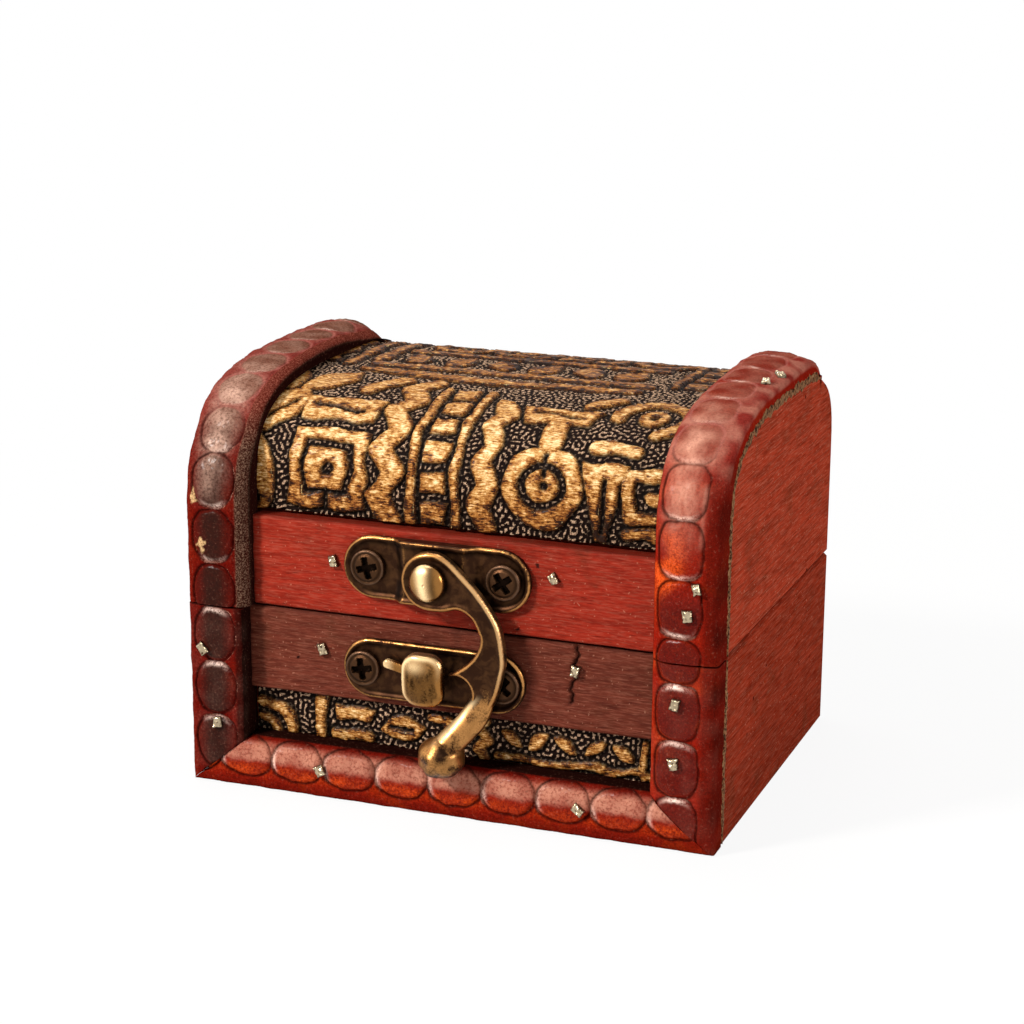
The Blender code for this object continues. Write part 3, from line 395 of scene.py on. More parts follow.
class Nodes:
    """Shorthand for laying out one node tree."""

    def __init__(self, tree: Tree) -> None:
        """Work on that tree."""
        self.tree = tree

    def add(self, kind: str, **settings: object) -> Node:
        """Add a node.

        Args:
            kind: the node's type.
            settings: its settings by name.

        Returns:
            The node.
        """
        node = self.tree.nodes.new(kind)
        for key, value in settings.items():
            setattr(node, key, value)
        return node

    def feed(self, socket: Socket, value: Feed) -> None:
        """Link a socket or set it.

        Args:
            socket: takes the value.
            value: another socket, a number or a tuple, where three numbers are a colour or a vector.
        """
        if isinstance(value, Socket):
            self.tree.links.new(value, socket)
        elif isinstance(value, tuple) and len(value) == 3 and socket.type == "RGBA":
            socket.default_value = (*value, 1.0)
        else:
            socket.default_value = value

    def place(self, stretch: Feed = (1.0, 1.0, 1.0), shift: Point = (0.0, 0.0, 0.0)) -> Socket:
        """Return the surface's own coordinates in millimetres.

        Args:
            stretch: factors on the three axes.
            shift: what is added to them afterwards.

        Returns:
            The coordinates.
        """
        scaled = self.add("ShaderNodeVectorMath", operation="MULTIPLY")
        self.feed(scaled.inputs[0], self.add("ShaderNodeTexCoord").outputs["Object"])
        self.feed(scaled.inputs[1], (1 / MM, 1 / MM, 1 / MM))
        shaped = self.add("ShaderNodeVectorMath", operation="MULTIPLY_ADD")
        for socket, value in zip(shaped.inputs, (scaled.outputs[0], stretch, shift)):
            self.feed(socket, value)
        return shaped.outputs[0]

    def attribute(self, name: str) -> Socket:
        """Return a value stored at the mesh's points."""
        return self.add("ShaderNodeAttribute", attribute_name=name).outputs["Fac"]

    def noise(self, vector: Socket, scale: Feed, detail: float = 3.0, rough: float = 0.55, twist: float = 0.0,
              output: str = "Fac") -> Socket:
        """Return noise from 0 to 1.

        Args:
            vector: where to read it.
            scale: its waves in a millimetre.
            detail: how many finer layers it has.
            rough: how strong those are.
            twist: how far it is distorted.
            output: the noise node's output.

        Returns:
            The noise.
        """
        node = self.add("ShaderNodeTexNoise")
        entries = {"Vector": vector, "Scale": scale, "Detail": detail, "Roughness": rough, "Distortion": twist}
        for name, value in entries.items():
            self.feed(node.inputs[name], value)
        return node.outputs[output]

    def cells(self, vector: Socket, scale: Feed) -> Socket:
        """Return the distance to the nearest of scattered points.

        Args:
            vector: where to read it.
            scale: the points in a millimetre.

        Returns:
            The distance, in the points' own spacing.
        """
        node = self.add("ShaderNodeTexVoronoi")
        self.feed(node.inputs["Vector"], vector)
        self.feed(node.inputs["Scale"], scale)
        return node.outputs["Distance"]

    def math(self, operation: str, *values: Feed) -> Socket:
        """Return the result of a math node.

        Args:
            operation: what it does, with a star at the end to keep the result between 0 and 1.
            values: what it works on.

        Returns:
            The result.
        """
        node = self.add("ShaderNodeMath", operation=operation.rstrip("*"), use_clamp=operation.endswith("*"))
        for socket, value in zip(node.inputs, values):
            self.feed(socket, value)
        return node.outputs[0]

    def times(self, first: Feed, second: Feed) -> Socket:
        """Return a product."""
        return self.math("MULTIPLY", first, second)

    def plus(self, first: Feed, second: Feed, factor: Feed = 1.0) -> Socket:
        """Return the first value times a factor, plus the second."""
        return self.math("MULTIPLY_ADD", first, factor, second)

    def step(self, value: Feed, low: Feed, high: Feed, start: float = 0.0, end: float = 1.0) -> Socket:
        """Return a soft step.

        Args:
            value: what is stepped.
            low: where the step begins.
            high: where it ends.
            start: the result below low.
            end: the result above high.

        Returns:
            The result.
        """
        node = self.add("ShaderNodeMapRange", interpolation_type="SMOOTHSTEP")
        entries = {"Value": value, "From Min": low, "From Max": high, "To Min": start, "To Max": end}
        for name, entry in entries.items():
            self.feed(node.inputs[name], entry)
        return node.outputs["Result"]

    def mix(self, share: Feed, first: Feed, second: Feed) -> Socket:
        """Return a mix of two colours.

        Args:
            share: how much of the second, kept between 0 and 1 by the node.
            first: one colour.
            second: the other.

        Returns:
            The mixed colour.
        """
        node = self.add("ShaderNodeMix", data_type="RGBA")
        for number, value in ((0, share), (6, first), (7, second)):
            self.feed(node.inputs[number], value)
        return node.outputs[2]

    def ramp(self, value: Feed, stops: Sequence[tuple[float, Colour]]) -> Socket:
        """Return a colour from a ramp.

        Args:
            value: the place on the ramp.
            stops: a place and a colour each.

        Returns:
            The colour.
        """
        node = self.add("ShaderNodeValToRGB")
        self.feed(node.inputs[0], value)
        while len(node.color_ramp.elements) < len(stops):
            node.color_ramp.elements.new(0.5)
        for element, (place, tint) in zip(node.color_ramp.elements, stops):
            element.position = place
            element.color = (*tint, 1.0)
        return node.outputs["Color"]

    def effect(self, group: Tree, **values: Feed) -> Sockets:
        """Place a shared node group.

        Args:
            group: the group.
            values: what its inputs get.

        Returns:
            The placed group's outputs.
        """
        node = self.add("ShaderNodeGroup", node_tree=group)
        for key, value in values.items():
            self.feed(node.inputs[key], value)
        return node.outputs


class SharedEffects:
    """The effects that several materials share, each built once as a node group."""

    def __init__(self) -> None:
        """Build every group."""
        self.grain = self.build_grain()
        self.wear = self.build_wear()
        self.grime = self.build_grime()
        self.patina = self.build_patina()
        self.pits = self.build_pits()

    @staticmethod
    def start(name: str, inputs: dict[str, float | Colour], outputs: Sequence[str]
              ) -> tuple[Nodes, Sockets, Sockets]:
        """Return a new group's tree.

        Args:
            name: the group's name.
            inputs: the default of each input, where three numbers are a vector.
            outputs: the names of its outputs.

        Returns:
            The tree's shorthand, what the group is given and what it puts out.
        """
        tree = bpy.data.node_groups.new(name, "ShaderNodeTree")
        for label, default in inputs.items():
            kind = "NodeSocketVector" if isinstance(default, tuple) else "NodeSocketFloat"
            socket = tree.interface.new_socket(label, in_out="INPUT", socket_type=kind)
            socket.default_value = default
        for label in outputs:
            tree.interface.new_socket(label, in_out="OUTPUT", socket_type="NodeSocketFloat")
        nodes = Nodes(tree)
        return nodes, nodes.add("NodeGroupInput").outputs, nodes.add("NodeGroupOutput").inputs

    def build_grain(self) -> Tree:
        """Build wood grain: long fibres with broad bands, and short dark pores along them.

        Returns:
            The group.
        """
        nodes, given, result = self.start("Wood grain", {"Stretch": (0.12, 1.0, 1.0), "Scale": 1.0},
                                          ("Fibre", "Band", "Pore"))
        place, scale = nodes.place(given["Stretch"]), given["Scale"]
        wavy = nodes.noise(place, nodes.times(scale, 0.35), 2.0)
        band = nodes.noise(place, nodes.times(scale, 0.8), 3.0, 0.6, 1.2)
        pore = nodes.step(nodes.cells(place, nodes.times(scale, 1.5)), 0.08, 0.22, 1.0, 0.0)
        nodes.feed(result["Fibre"], nodes.noise(place, nodes.times(scale, 2.6), 5.0, 0.7, 0.4))
        nodes.feed(result["Band"], nodes.step(band, 0.36, 0.66))
        nodes.feed(result["Pore"], nodes.times(pore, nodes.step(wavy, 0.5, 0.62)))
        return nodes.tree

    def build_wear(self) -> Tree:
        """Build edge wear: an edge value broken up by two sizes of noise.

        Returns:
            The group.
        """
        nodes, given, result = self.start("Edge wear", {"Edge": 0.0, "Amount": 0.5, "Scale": 1.0}, ("Wear",))
        place, scale = nodes.place(), given["Scale"]
        broad = nodes.noise(place, nodes.times(scale, 0.35), 3.0)
        fine = nodes.noise(place, nodes.times(scale, 3.2), 3.0, 0.65)
        edge = nodes.times(nodes.math("SUBTRACT", given["Edge"], 1.0), 0.5)
        speck = nodes.plus(nodes.plus(broad, fine), edge, 0.5)
        low = nodes.plus(given["Amount"], 0.62, -0.35)
        nodes.feed(result["Wear"], nodes.step(speck, low, nodes.plus(low, 0.09)))
        return nodes.tree

    def build_grime(self) -> Tree:
        """Build grime and glaze: soft blotches, and fine mottling over them.

        Returns:
            The group.
        """
        nodes, given, result = self.start("Grime", {"Scale": 0.2, "Cover": 0.5}, ("Blotch", "Mottle"))
        place, scale = nodes.place(shift=(17.0, 5.0, 9.0)), given["Scale"]
        blotch = nodes.noise(place, scale, 4.0, 0.6, 0.6)
        low = nodes.plus(given["Cover"], 0.78, -0.55)
        nodes.feed(result["Blotch"], nodes.step(blotch, low, nodes.plus(low, 0.22)))
        nodes.feed(result["Mottle"], nodes.noise(place, nodes.times(scale, 9.0), 4.0, 0.7))
        return nodes.tree

    def build_patina(self) -> Tree:
        """Build brass patina: where the metal is rubbed bright, and the smudges left on it.

        Returns:
            The group.
        """
        nodes, given, result = self.start("Patina", {"Polish": 0.0, "Scale": 0.8}, ("Bright", "Smudge", "Scratch"))
        place, scale = nodes.place(shift=(3.0, 8.0, 21.0)), given["Scale"]
        broad = nodes.noise(place, scale, 4.0, 0.6, 0.5)
        fine = nodes.noise(place, nodes.times(scale, 7.0), 3.0, 0.65)
        stray = nodes.math("SUBTRACT", nodes.plus(broad, fine), 1.0)
        rubbed = nodes.plus(stray, given["Polish"], 0.75)
        nodes.feed(result["Bright"], nodes.step(rubbed, 0.30, 0.74))
        nodes.feed(result["Smudge"], nodes.step(broad, 0.42, 0.66))
        nodes.feed(result["Scratch"], nodes.noise(nodes.place((0.8, 0.8, 9.0)), 1.3, 2.0))
        return nodes.tree

    def build_pits(self) -> Tree:
        """Build scattered pits and nicks.

        Returns:
            The group.
        """
        nodes, given, result = self.start("Pits", {"Scale": 0.3, "Size": 0.1}, ("Pit",))
        place, size = nodes.place(shift=(2.0, 31.0, 4.0)), given["Size"]
        bent = nodes.add("ShaderNodeVectorMath", operation="ADD")
        nodes.feed(bent.inputs[0], place)
        nodes.feed(bent.inputs[1], nodes.noise(place, 0.9, 2.0, 0.5, output="Color"))
        distance = nodes.cells(bent.outputs[0], given["Scale"])
        nodes.feed(result["Pit"], nodes.step(distance, nodes.times(size, 0.5), size, 1.0, 0.0))
        return nodes.tree


@dataclass
class Surface:
    """A material under construction: its nodes, its Principled surface and the colour laid so far."""

    name: str
    base: Feed
    material: Finish = field(init=False)
    nodes: Nodes = field(init=False)
    shader: Node = field(init=False)

    def __post_init__(self) -> None:
        """Make the material and find its surface."""
        self.material = bpy.data.materials.new(self.name)
        self.material.use_nodes = True
        self.nodes = Nodes(self.material.node_tree)
        self.shader = self.material.node_tree.nodes["Principled BSDF"]

    def layer(self, tint: Feed, *shares: Feed) -> None:
        """Lay a colour over what is there.

        Args:
            tint: the colour.
            shares: factors whose product is how thickly it lies, at most 1.
        """
        share = shares[0]
        for other in shares[1:]:
            share = self.nodes.times(share, other)
        self.base = self.nodes.mix(share, self.base, tint)

    def set(self, **values: Feed) -> None:
        """Give the surface its colour, and other sockets theirs, with underscores for the spaces in their names."""
        for key, value in {"Base_Color": self.base, **values}.items():
            self.nodes.feed(self.shader.inputs[key.replace("_", " ")], value)

    def bump(self, strength: float, *layers: tuple[Socket, float]) -> Finish:
        """Bump the surface, as the last thing done to it.

        Args:
            strength: the share of the bumps that shows.
            layers: heights, each with its depth in millimetres.

        Returns:
            The finished material.
        """
        normal = None
        for height, depth in layers:
            node = self.nodes.add("ShaderNodeBump")
            entries = {"Strength": strength, "Distance": depth * MM, "Height": height}
            if normal:
                entries["Normal"] = normal
            for name, value in entries.items():
                self.nodes.feed(node.inputs[name], value)
            normal = node.outputs["Normal"]
        self.nodes.feed(self.shader.inputs["Normal"], normal)
        return self.material


@dataclass(frozen=True)
class Lacquer:
    """Glossy red lacquer over carved wood, with a dark glaze on the pads, pale worn lines, painted shade in the grooves
    and a painted sheen.
    """

    name: str
    red: Colour
    ember: Colour
    glaze: Colour
    worn: Colour = colour("b27a68")
    glazed: float = 0.7
    embers: float = 0.4
    gloss: float = 0.36
    lips: float = 0.6
    # The colour of the painted sheen and dust.
    pale: Colour = colour("c29a86")
    coat: float = 0.12
    lines: Colour = colour("a5645a")
    crackle: float = 1.0

    def material(self, effects: SharedEffects) -> Finish:
        """Return the lacquer as a material.

        Args:
            effects: the shared effects.

        Returns:
            The material.
        """
        made = Surface(self.name, self.red)
        nodes = made.nodes
        grime = nodes.effect(effects.grime, Scale=0.16, Cover=0.5)
        speck = nodes.effect(effects.grime, Scale=0.9, Cover=0.35)
        grit = nodes.effect(effects.grime, Scale=0.27, Cover=0.5)["Mottle"]
        fleck = nodes.effect(effects.grime, Scale=0.48, Cover=0.4)["Mottle"]
        pad, aged, groove, dirt = map(nodes.attribute, ("pad", "aged", "groove", "dirt"))
        made.layer(self.ember, grime["Blotch"], self.embers)
        made.layer(self.ember, nodes.attribute("ember"), nodes.step(grit, 0.36, 0.60, 0.25, 1.0))
        made.layer(self.glaze, pad, nodes.plus(grime["Mottle"], self.glazed - 0.22, 0.5))
        made.layer(self.glaze, nodes.attribute("outer"), 0.8)
        made.layer(colour("3c120c"), speck["Blotch"], 0.22)
        made.layer(nodes.mix(pad, colour("84302a"), colour("6c3826")), aged, 0.75)
        # Painted shade in the grooves round the pads, turning to pale lines toward the arch's top.
        made.layer(nodes.mix(nodes.step(aged, 0.45, 1.0), colour("200705"), self.lines), groove, 0.92)
        # Near-black dirt and painted shade along the trims' inner feet and walls, and darker toward some edges.
        made.layer(colour("1c0a07"), dirt, nodes.plus(speck["Mottle"], 0.35))
        wear = nodes.effect(effects.wear, Edge=nodes.attribute("lip"), Amount=0.62, Scale=1.3)["Wear"]
        made.layer(self.worn, wear, self.lips)
        dust = nodes.effect(effects.wear, Edge=nodes.attribute("dust"), Amount=0.55, Scale=1.9)["Wear"]
        made.layer(self.worn, dust, self.lips * 0.55)
        made.layer(colour("1c0705"), nodes.step(fleck, 0.30, 0.62, 0.5, 0.0))
        made.layer(colour("1c0705"), nodes.step(grit, 0.32, 0.52, 0.34 * self.crackle, 0.0))
        made.layer(self.worn, nodes.step(grit, 0.56, 0.72, 0.0, 0.16))
        dull = nodes.mix(aged, colour("21130d"), colour("4e1c14"))
        bare = nodes.mix(aged, colour("77604f"), colour("8a5040"))
        made.layer(nodes.mix(nodes.step(fleck, 0.44, 0.66), dull, bare), nodes.attribute("rim"), 0.85)
        made.layer(colour("f2d4c6"), nodes.attribute("mark"), nodes.step(grit, 0.40, 0.52, 0.15, 1.0))
        crazed = nodes.step(grit, 0.36, 0.56, 1.0 - 0.6 * self.crackle)
        # Painted sheen and pale dust, broken by crazing and kept out of the grooves' painted shade.
        made.layer(self.pale, nodes.attribute("sheen"), crazed, nodes.plus(groove, 1.0, -0.8))
        wood = nodes.mix(nodes.step(fleck, 0.3, 0.6), colour("5a3a22"), colour("cda878"))
        made.layer(wood, nodes.attribute("chip"))
        rough = nodes.plus(speck["Mottle"], self.gloss - 0.08, 0.22)
        spoiled = nodes.plus(nodes.plus(dirt, aged), groove)
        made.set(Roughness=nodes.plus(nodes.plus(wear, groove), rough, 0.2), Specular_IOR_Level=0.0,
                 Coat_Weight=nodes.times(nodes.math("SUBTRACT*", pad, spoiled), self.coat), Coat_Roughness=0.22)
        grain = nodes.effect(effects.grain, Stretch=(1.0, 1.0, 0.25), Scale=1.0)
        return made.bump(0.8, (grain["Fibre"], 0.05), (speck["Mottle"], 0.06), (fleck, 0.05))


@dataclass(frozen=True)
class StainedWood:
    """Stained softwood with open grain, pits and dark scratches."""

    name: str
    light: Colour
    dark: Colour
    stretch: Point = (1.0, 0.12, 1.0)
    rough: float = 0.6
    pink: float = 0.2
    shine: float = 0.08
    fine: float = 1.8
    murk: Colour = colour("4a2a18")
    streaks: float = 0.55

    def material(self, effects: SharedEffects) -> Finish:
        """Return the stained wood as a material.

        Args:
            effects: the shared effects.

        Returns:
            The material.
        """
        made = Surface(self.name, self.light)
        nodes = made.nodes
        grain = nodes.effect(effects.grain, Stretch=self.stretch, Scale=self.fine)
        pits = nodes.effect(effects.pits, Scale=0.16, Size=0.06)["Pit"]
        made.layer(self.dark, grain["Band"], 0.6)
        made.layer(colour("c08a70"), nodes.effect(effects.pits, Scale=1.1, Size=0.16)["Pit"], self.pink * 1.6)
        made.layer(self.dark, nodes.effect(effects.grime, Scale=0.07, Cover=0.5)["Blotch"], 0.35)
        made.layer(self.murk, nodes.effect(effects.grime, Scale=0.13, Cover=0.46)["Blotch"], 0.42)
        made.layer(colour("b0705a"), nodes.step(grain["Fibre"], 0.46, 0.64), self.pink)
        made.layer(colour("3a100a"), nodes.step(grain["Fibre"], 0.30, 0.44, 1.0, 0.0), self.streaks)
        made.layer(colour("200a06"), grain["Pore"], 0.6)
        made.layer(colour("180806"), pits, 0.9)
        # Dirt and painted shade from the rails: along their edges, round the hasp and in the crack's dark line.
        made.layer(colour("1a0805"), nodes.attribute("dirt"), 0.9)
        wear = nodes.effect(effects.wear, Edge=nodes.attribute("lip"), Amount=0.6, Scale=1.4)["Wear"]
        made.layer(colour("c8897a"), wear, 0.6)
        made.set(Roughness=nodes.plus(grain["Fibre"], self.rough - 0.1, 0.25), Specular_IOR_Level=self.shine)
        return made.bump(0.9, (grain["Fibre"], 0.12), (nodes.math("SUBTRACT", 1.0, pits), 0.25))


@dataclass(frozen=True)
class TooledLeather:
    """Dark leather with a pebbled ground and gilded raised work."""

    name: str
    gilt: Sequence[tuple[float, Colour]] = (
        (0.10, colour("241107")),
        (0.28, colour("6e3a13")),
        (0.46, colour("a0682c")),
        (0.68, colour("d0a060")),
        (0.92, colour("f4d8a8")),
    )

    def material(self, effects: SharedEffects) -> Finish:
        """Return the leather as a material.

        Args:
            effects: the shared effects.

        Returns:
            The material.
        """
        made = Surface(self.name, colour("140906"))
        nodes = made.nodes
        grain = nodes.effect(effects.grain, Stretch=(0.22, 1.0, 1.0), Scale=1.6)
        grime = nodes.effect(effects.grime, Scale=0.10, Cover=0.45)
        speck = nodes.effect(effects.grime, Scale=0.55, Cover=0.5)["Mottle"]
        tone = nodes.plus(grain["Fibre"], -0.50, 2.1)
        tone = nodes.plus(tone, nodes.plus(grime["Mottle"], -0.62, 1.3))
        # Among these darkenings are painted shade and highlight along the lid, and painted shade at the raised work's
        # edges.
        for darker, amount in ((grime["Blotch"], 0.34), (grain["Pore"], 0.55), (nodes.attribute("dull"), 0.24),
                               (nodes.attribute("burn"), 0.30)):
            tone = nodes.plus(darker, tone, -amount)
        gold = nodes.attribute("gold")
        beige = nodes.times(nodes.step(nodes.attribute("ridge"), 0.40, 0.95), nodes.step(speck, 0.36, 0.58))
        made.layer(nodes.mix(speck, colour("a07a62"), colour("ecc8a6")), beige)
        made.layer(nodes.ramp(tone, self.gilt), gold)
        made.layer(colour("0b0503"), nodes.attribute("outline"))
        rubbed = nodes.effect(effects.wear, Edge=nodes.attribute("lip"), Amount=0.7, Scale=1.4)["Wear"]
        made.layer(colour("f0cf8c"), rubbed, 0.6)
        made.set(Roughness=nodes.plus(gold, 0.58, -0.14), Specular_IOR_Level=0.04,
                 Coat_Weight=nodes.times(nodes.math("MAXIMUM", gold, beige), 0.12), Coat_Roughness=0.3)
        return made.bump(0.8, (grain["Fibre"], 0.08), (speck, 0.12))


@dataclass(frozen=True)
class Brass:
    """Brass that is dark with age where it isn't rubbed."""

    name: str
    aged: Colour = colour("331f14")
    bright: Colour = colour("ba844c")
    polish: float = 0.0
    rough: float = 0.34

    def material(self, effects: SharedEffects) -> Finish:
        """Return the brass as a material.

        Args:
            effects: the shared effects.

        Returns:
            The material.
        """
        made = Surface(self.name, self.aged)
        nodes = made.nodes
        polish = nodes.plus(nodes.attribute("polish"), self.polish)
        patina = nodes.effect(effects.patina, Polish=polish, Scale=0.55)
        # The glint value is a painted highlight; lowering Metallic under it lets the lamps light it like pale paint.
        glint = nodes.math("MULTIPLY*", nodes.attribute("glint"), 0.95)
        made.layer(colour("49301f"), patina["Smudge"])
        made.layer(self.bright, patina["Bright"])
        made.layer(colour("4a301a"), patina["Smudge"], 0.30)
        # Near-black dirt and painted shade: the post head's sides and lower middle, the ball's lower right, the rivet's
        # dark band and the brads' edges.
        made.layer(colour("0e0a07"), nodes.attribute("dirt"), 0.92)
        made.layer(colour("ffdea6"), glint)
        rough = nodes.plus(patina["Bright"], self.rough + 0.06, -0.12)
        made.set(Metallic=nodes.plus(glint, 1.0, -0.8), Roughness=nodes.plus(patina["Smudge"], rough, 0.12))
        return made.bump(0.6, (patina["Scratch"], 0.003), (patina["Smudge"], 0.01))


@dataclass(frozen=True)
class BlackSteel:
    """Blackened steel of the screws."""

    name: str
    dark: Colour = colour("48301f")
    rubbed: Colour = colour("5f4737")

    def material(self, effects: SharedEffects) -> Finish:
        """Return the steel as a material.

        Args:
            effects: the shared effects.

        Returns:
            The material.
        """
        made = Surface(self.name, self.dark)
        nodes = made.nodes
        patina = nodes.effect(effects.patina, Polish=nodes.attribute("polish"), Scale=1.1)
        made.layer(self.rubbed, patina["Bright"])
        made.layer(colour("050404"), nodes.attribute("dirt"), 0.9)
        made.set(Metallic=1.0, Roughness=nodes.plus(patina["Smudge"], 0.38, 0.15))
        return made.bump(0.6, (patina["Smudge"], 0.03))


@dataclass(frozen=True)
class Felt:
    """Dark red felt of the lining."""

    name: str
    tint: Colour = colour("4e1113")

    def material(self, effects: SharedEffects) -> Finish:
        """Return the felt as a material.

        Args:
            effects: the shared effects.

        Returns:
            The material.
        """
        made = Surface(self.name, self.tint)
        fuzz = made.nodes.effect(effects.grime, Scale=0.6, Cover=0.5)
        made.layer(colour("742022"), fuzz["Mottle"])
        made.layer(colour("3a0c0e"), fuzz["Blotch"], 0.4)
        made.set(Roughness=0.95, Specular_IOR_Level=0.1)
        return made.bump(0.9, (fuzz["Mottle"], 0.3))


@dataclass
class BoxShape:
    """The sizes that every sub-assembly shares, in millimetres, and the lid's arch."""

    side: float = 42.5
    front: float = -32.5
    back: float = 32.5
    board_front: float = -27.2
    base_top: float = 28.95
    lid_bottom: float = 29.25
    trim_width: float = 10.2
    trim_seat: float = -27.5
    bottom_height: float = 8.5
    end_spring: float = 46.0
    end_rise: float = 15.9
    end_power: float = 3.2
    end_peak: float = 5.005
    trim_spring: float = 41.9
    trim_rise: float = 23.1
    trim_power: float = 3.3
    trim_peak: float = 12.025
    trim_stop: float = 24.83
    arch_steps: int = 1441

    def arch(self, spring: float, rise: float, front: float, power: float, peak: float, inset: float = 0.0) -> Array:
        """Return an arch's (y, z) points from its front spring to its back spring.

        Args:
            spring: the height where it begins.
            rise: its rise above that.
            front: the y of its front spring.
            power: how square it is, 2 for an ellipse.
            peak: the y of its top.
            inset: how far it is set in.

        Returns:
            The points.
        """
        turn = np.linspace(0, math.pi, self.arch_steps)
        reach = np.where(turn < math.pi / 2, peak - front, self.back - peak) - inset
        across = np.abs(np.cos(turn)) ** (2 / power) * reach
        up = np.abs(np.sin(turn)) ** (2 / power) * (rise - inset)
        return np.stack([peak - np.copysign(across, np.cos(turn)), spring + up], axis=1)

    def end_arch(self, inset: float = 0.0) -> Array:
        """Return the end boards' arch, set in by a thickness."""
        return self.arch(self.end_spring, self.end_rise, self.board_front, self.end_power, self.end_peak, inset)

    def trim_arch(self) -> Array:
        """Return the arch of the trims' crest, up to where they stop."""
        crest = self.arch(self.trim_spring, self.trim_rise, self.front, self.trim_power, self.trim_peak)
        return crest[crest[:, 0] < self.trim_stop]


def resample(path: Array, step: float) -> tuple[Array, Array]:
    """Return a path's points at an even step, and how far along each one is.

    Args:
        path: its points, one in a row.
        step: the wanted step.

    Returns:
        The points and their places.
    """
    lengths = np.concatenate([[0.0], np.cumsum(np.linalg.norm(np.diff(path, axis=0), axis=1))])
    count = max(int(round(lengths[-1] / step)), 2)
    places = np.linspace(0, lengths[-1], count + 1)
    points = np.stack([np.interp(places, lengths, path[:, axis]) for axis in range(path.shape[1])], axis=1)
    return points, places


def normals(line: Array) -> Array:
    """Return the unit normals to the left of a line's points.

    Args:
        line: the points, one in a row.

    Returns:
        The normals, one in a row.
    """
    ahead = np.gradient(line, axis=0)
    ahead /= np.linalg.norm(ahead, axis=1)[:, None]
    return np.stack([-ahead[:, 1], ahead[:, 0]], axis=1)


class TrimSide(Enum):
    """Where a carved trim runs."""

    LEFT = -1
    RIGHT = 1
    BOTTOM = 0


@dataclass(frozen=True)
class Places:
    """Places on a carved trim, in millimetres along and across it, and in shares within its nearest pad.

    The share over runs from 0 at the trim's inner edge to 1 at its outer one, height from 0 at the seat to 1 at the
    crest, rate from -1 at a pad's foot to 1 at its top, and aside from -1 to 1 across it. Inside is the distance
    inside the pad.
    """

    along: Array
    across: Array
    over: Array
    height: Array
    inside: Array
    rate: Array
    aside: Array


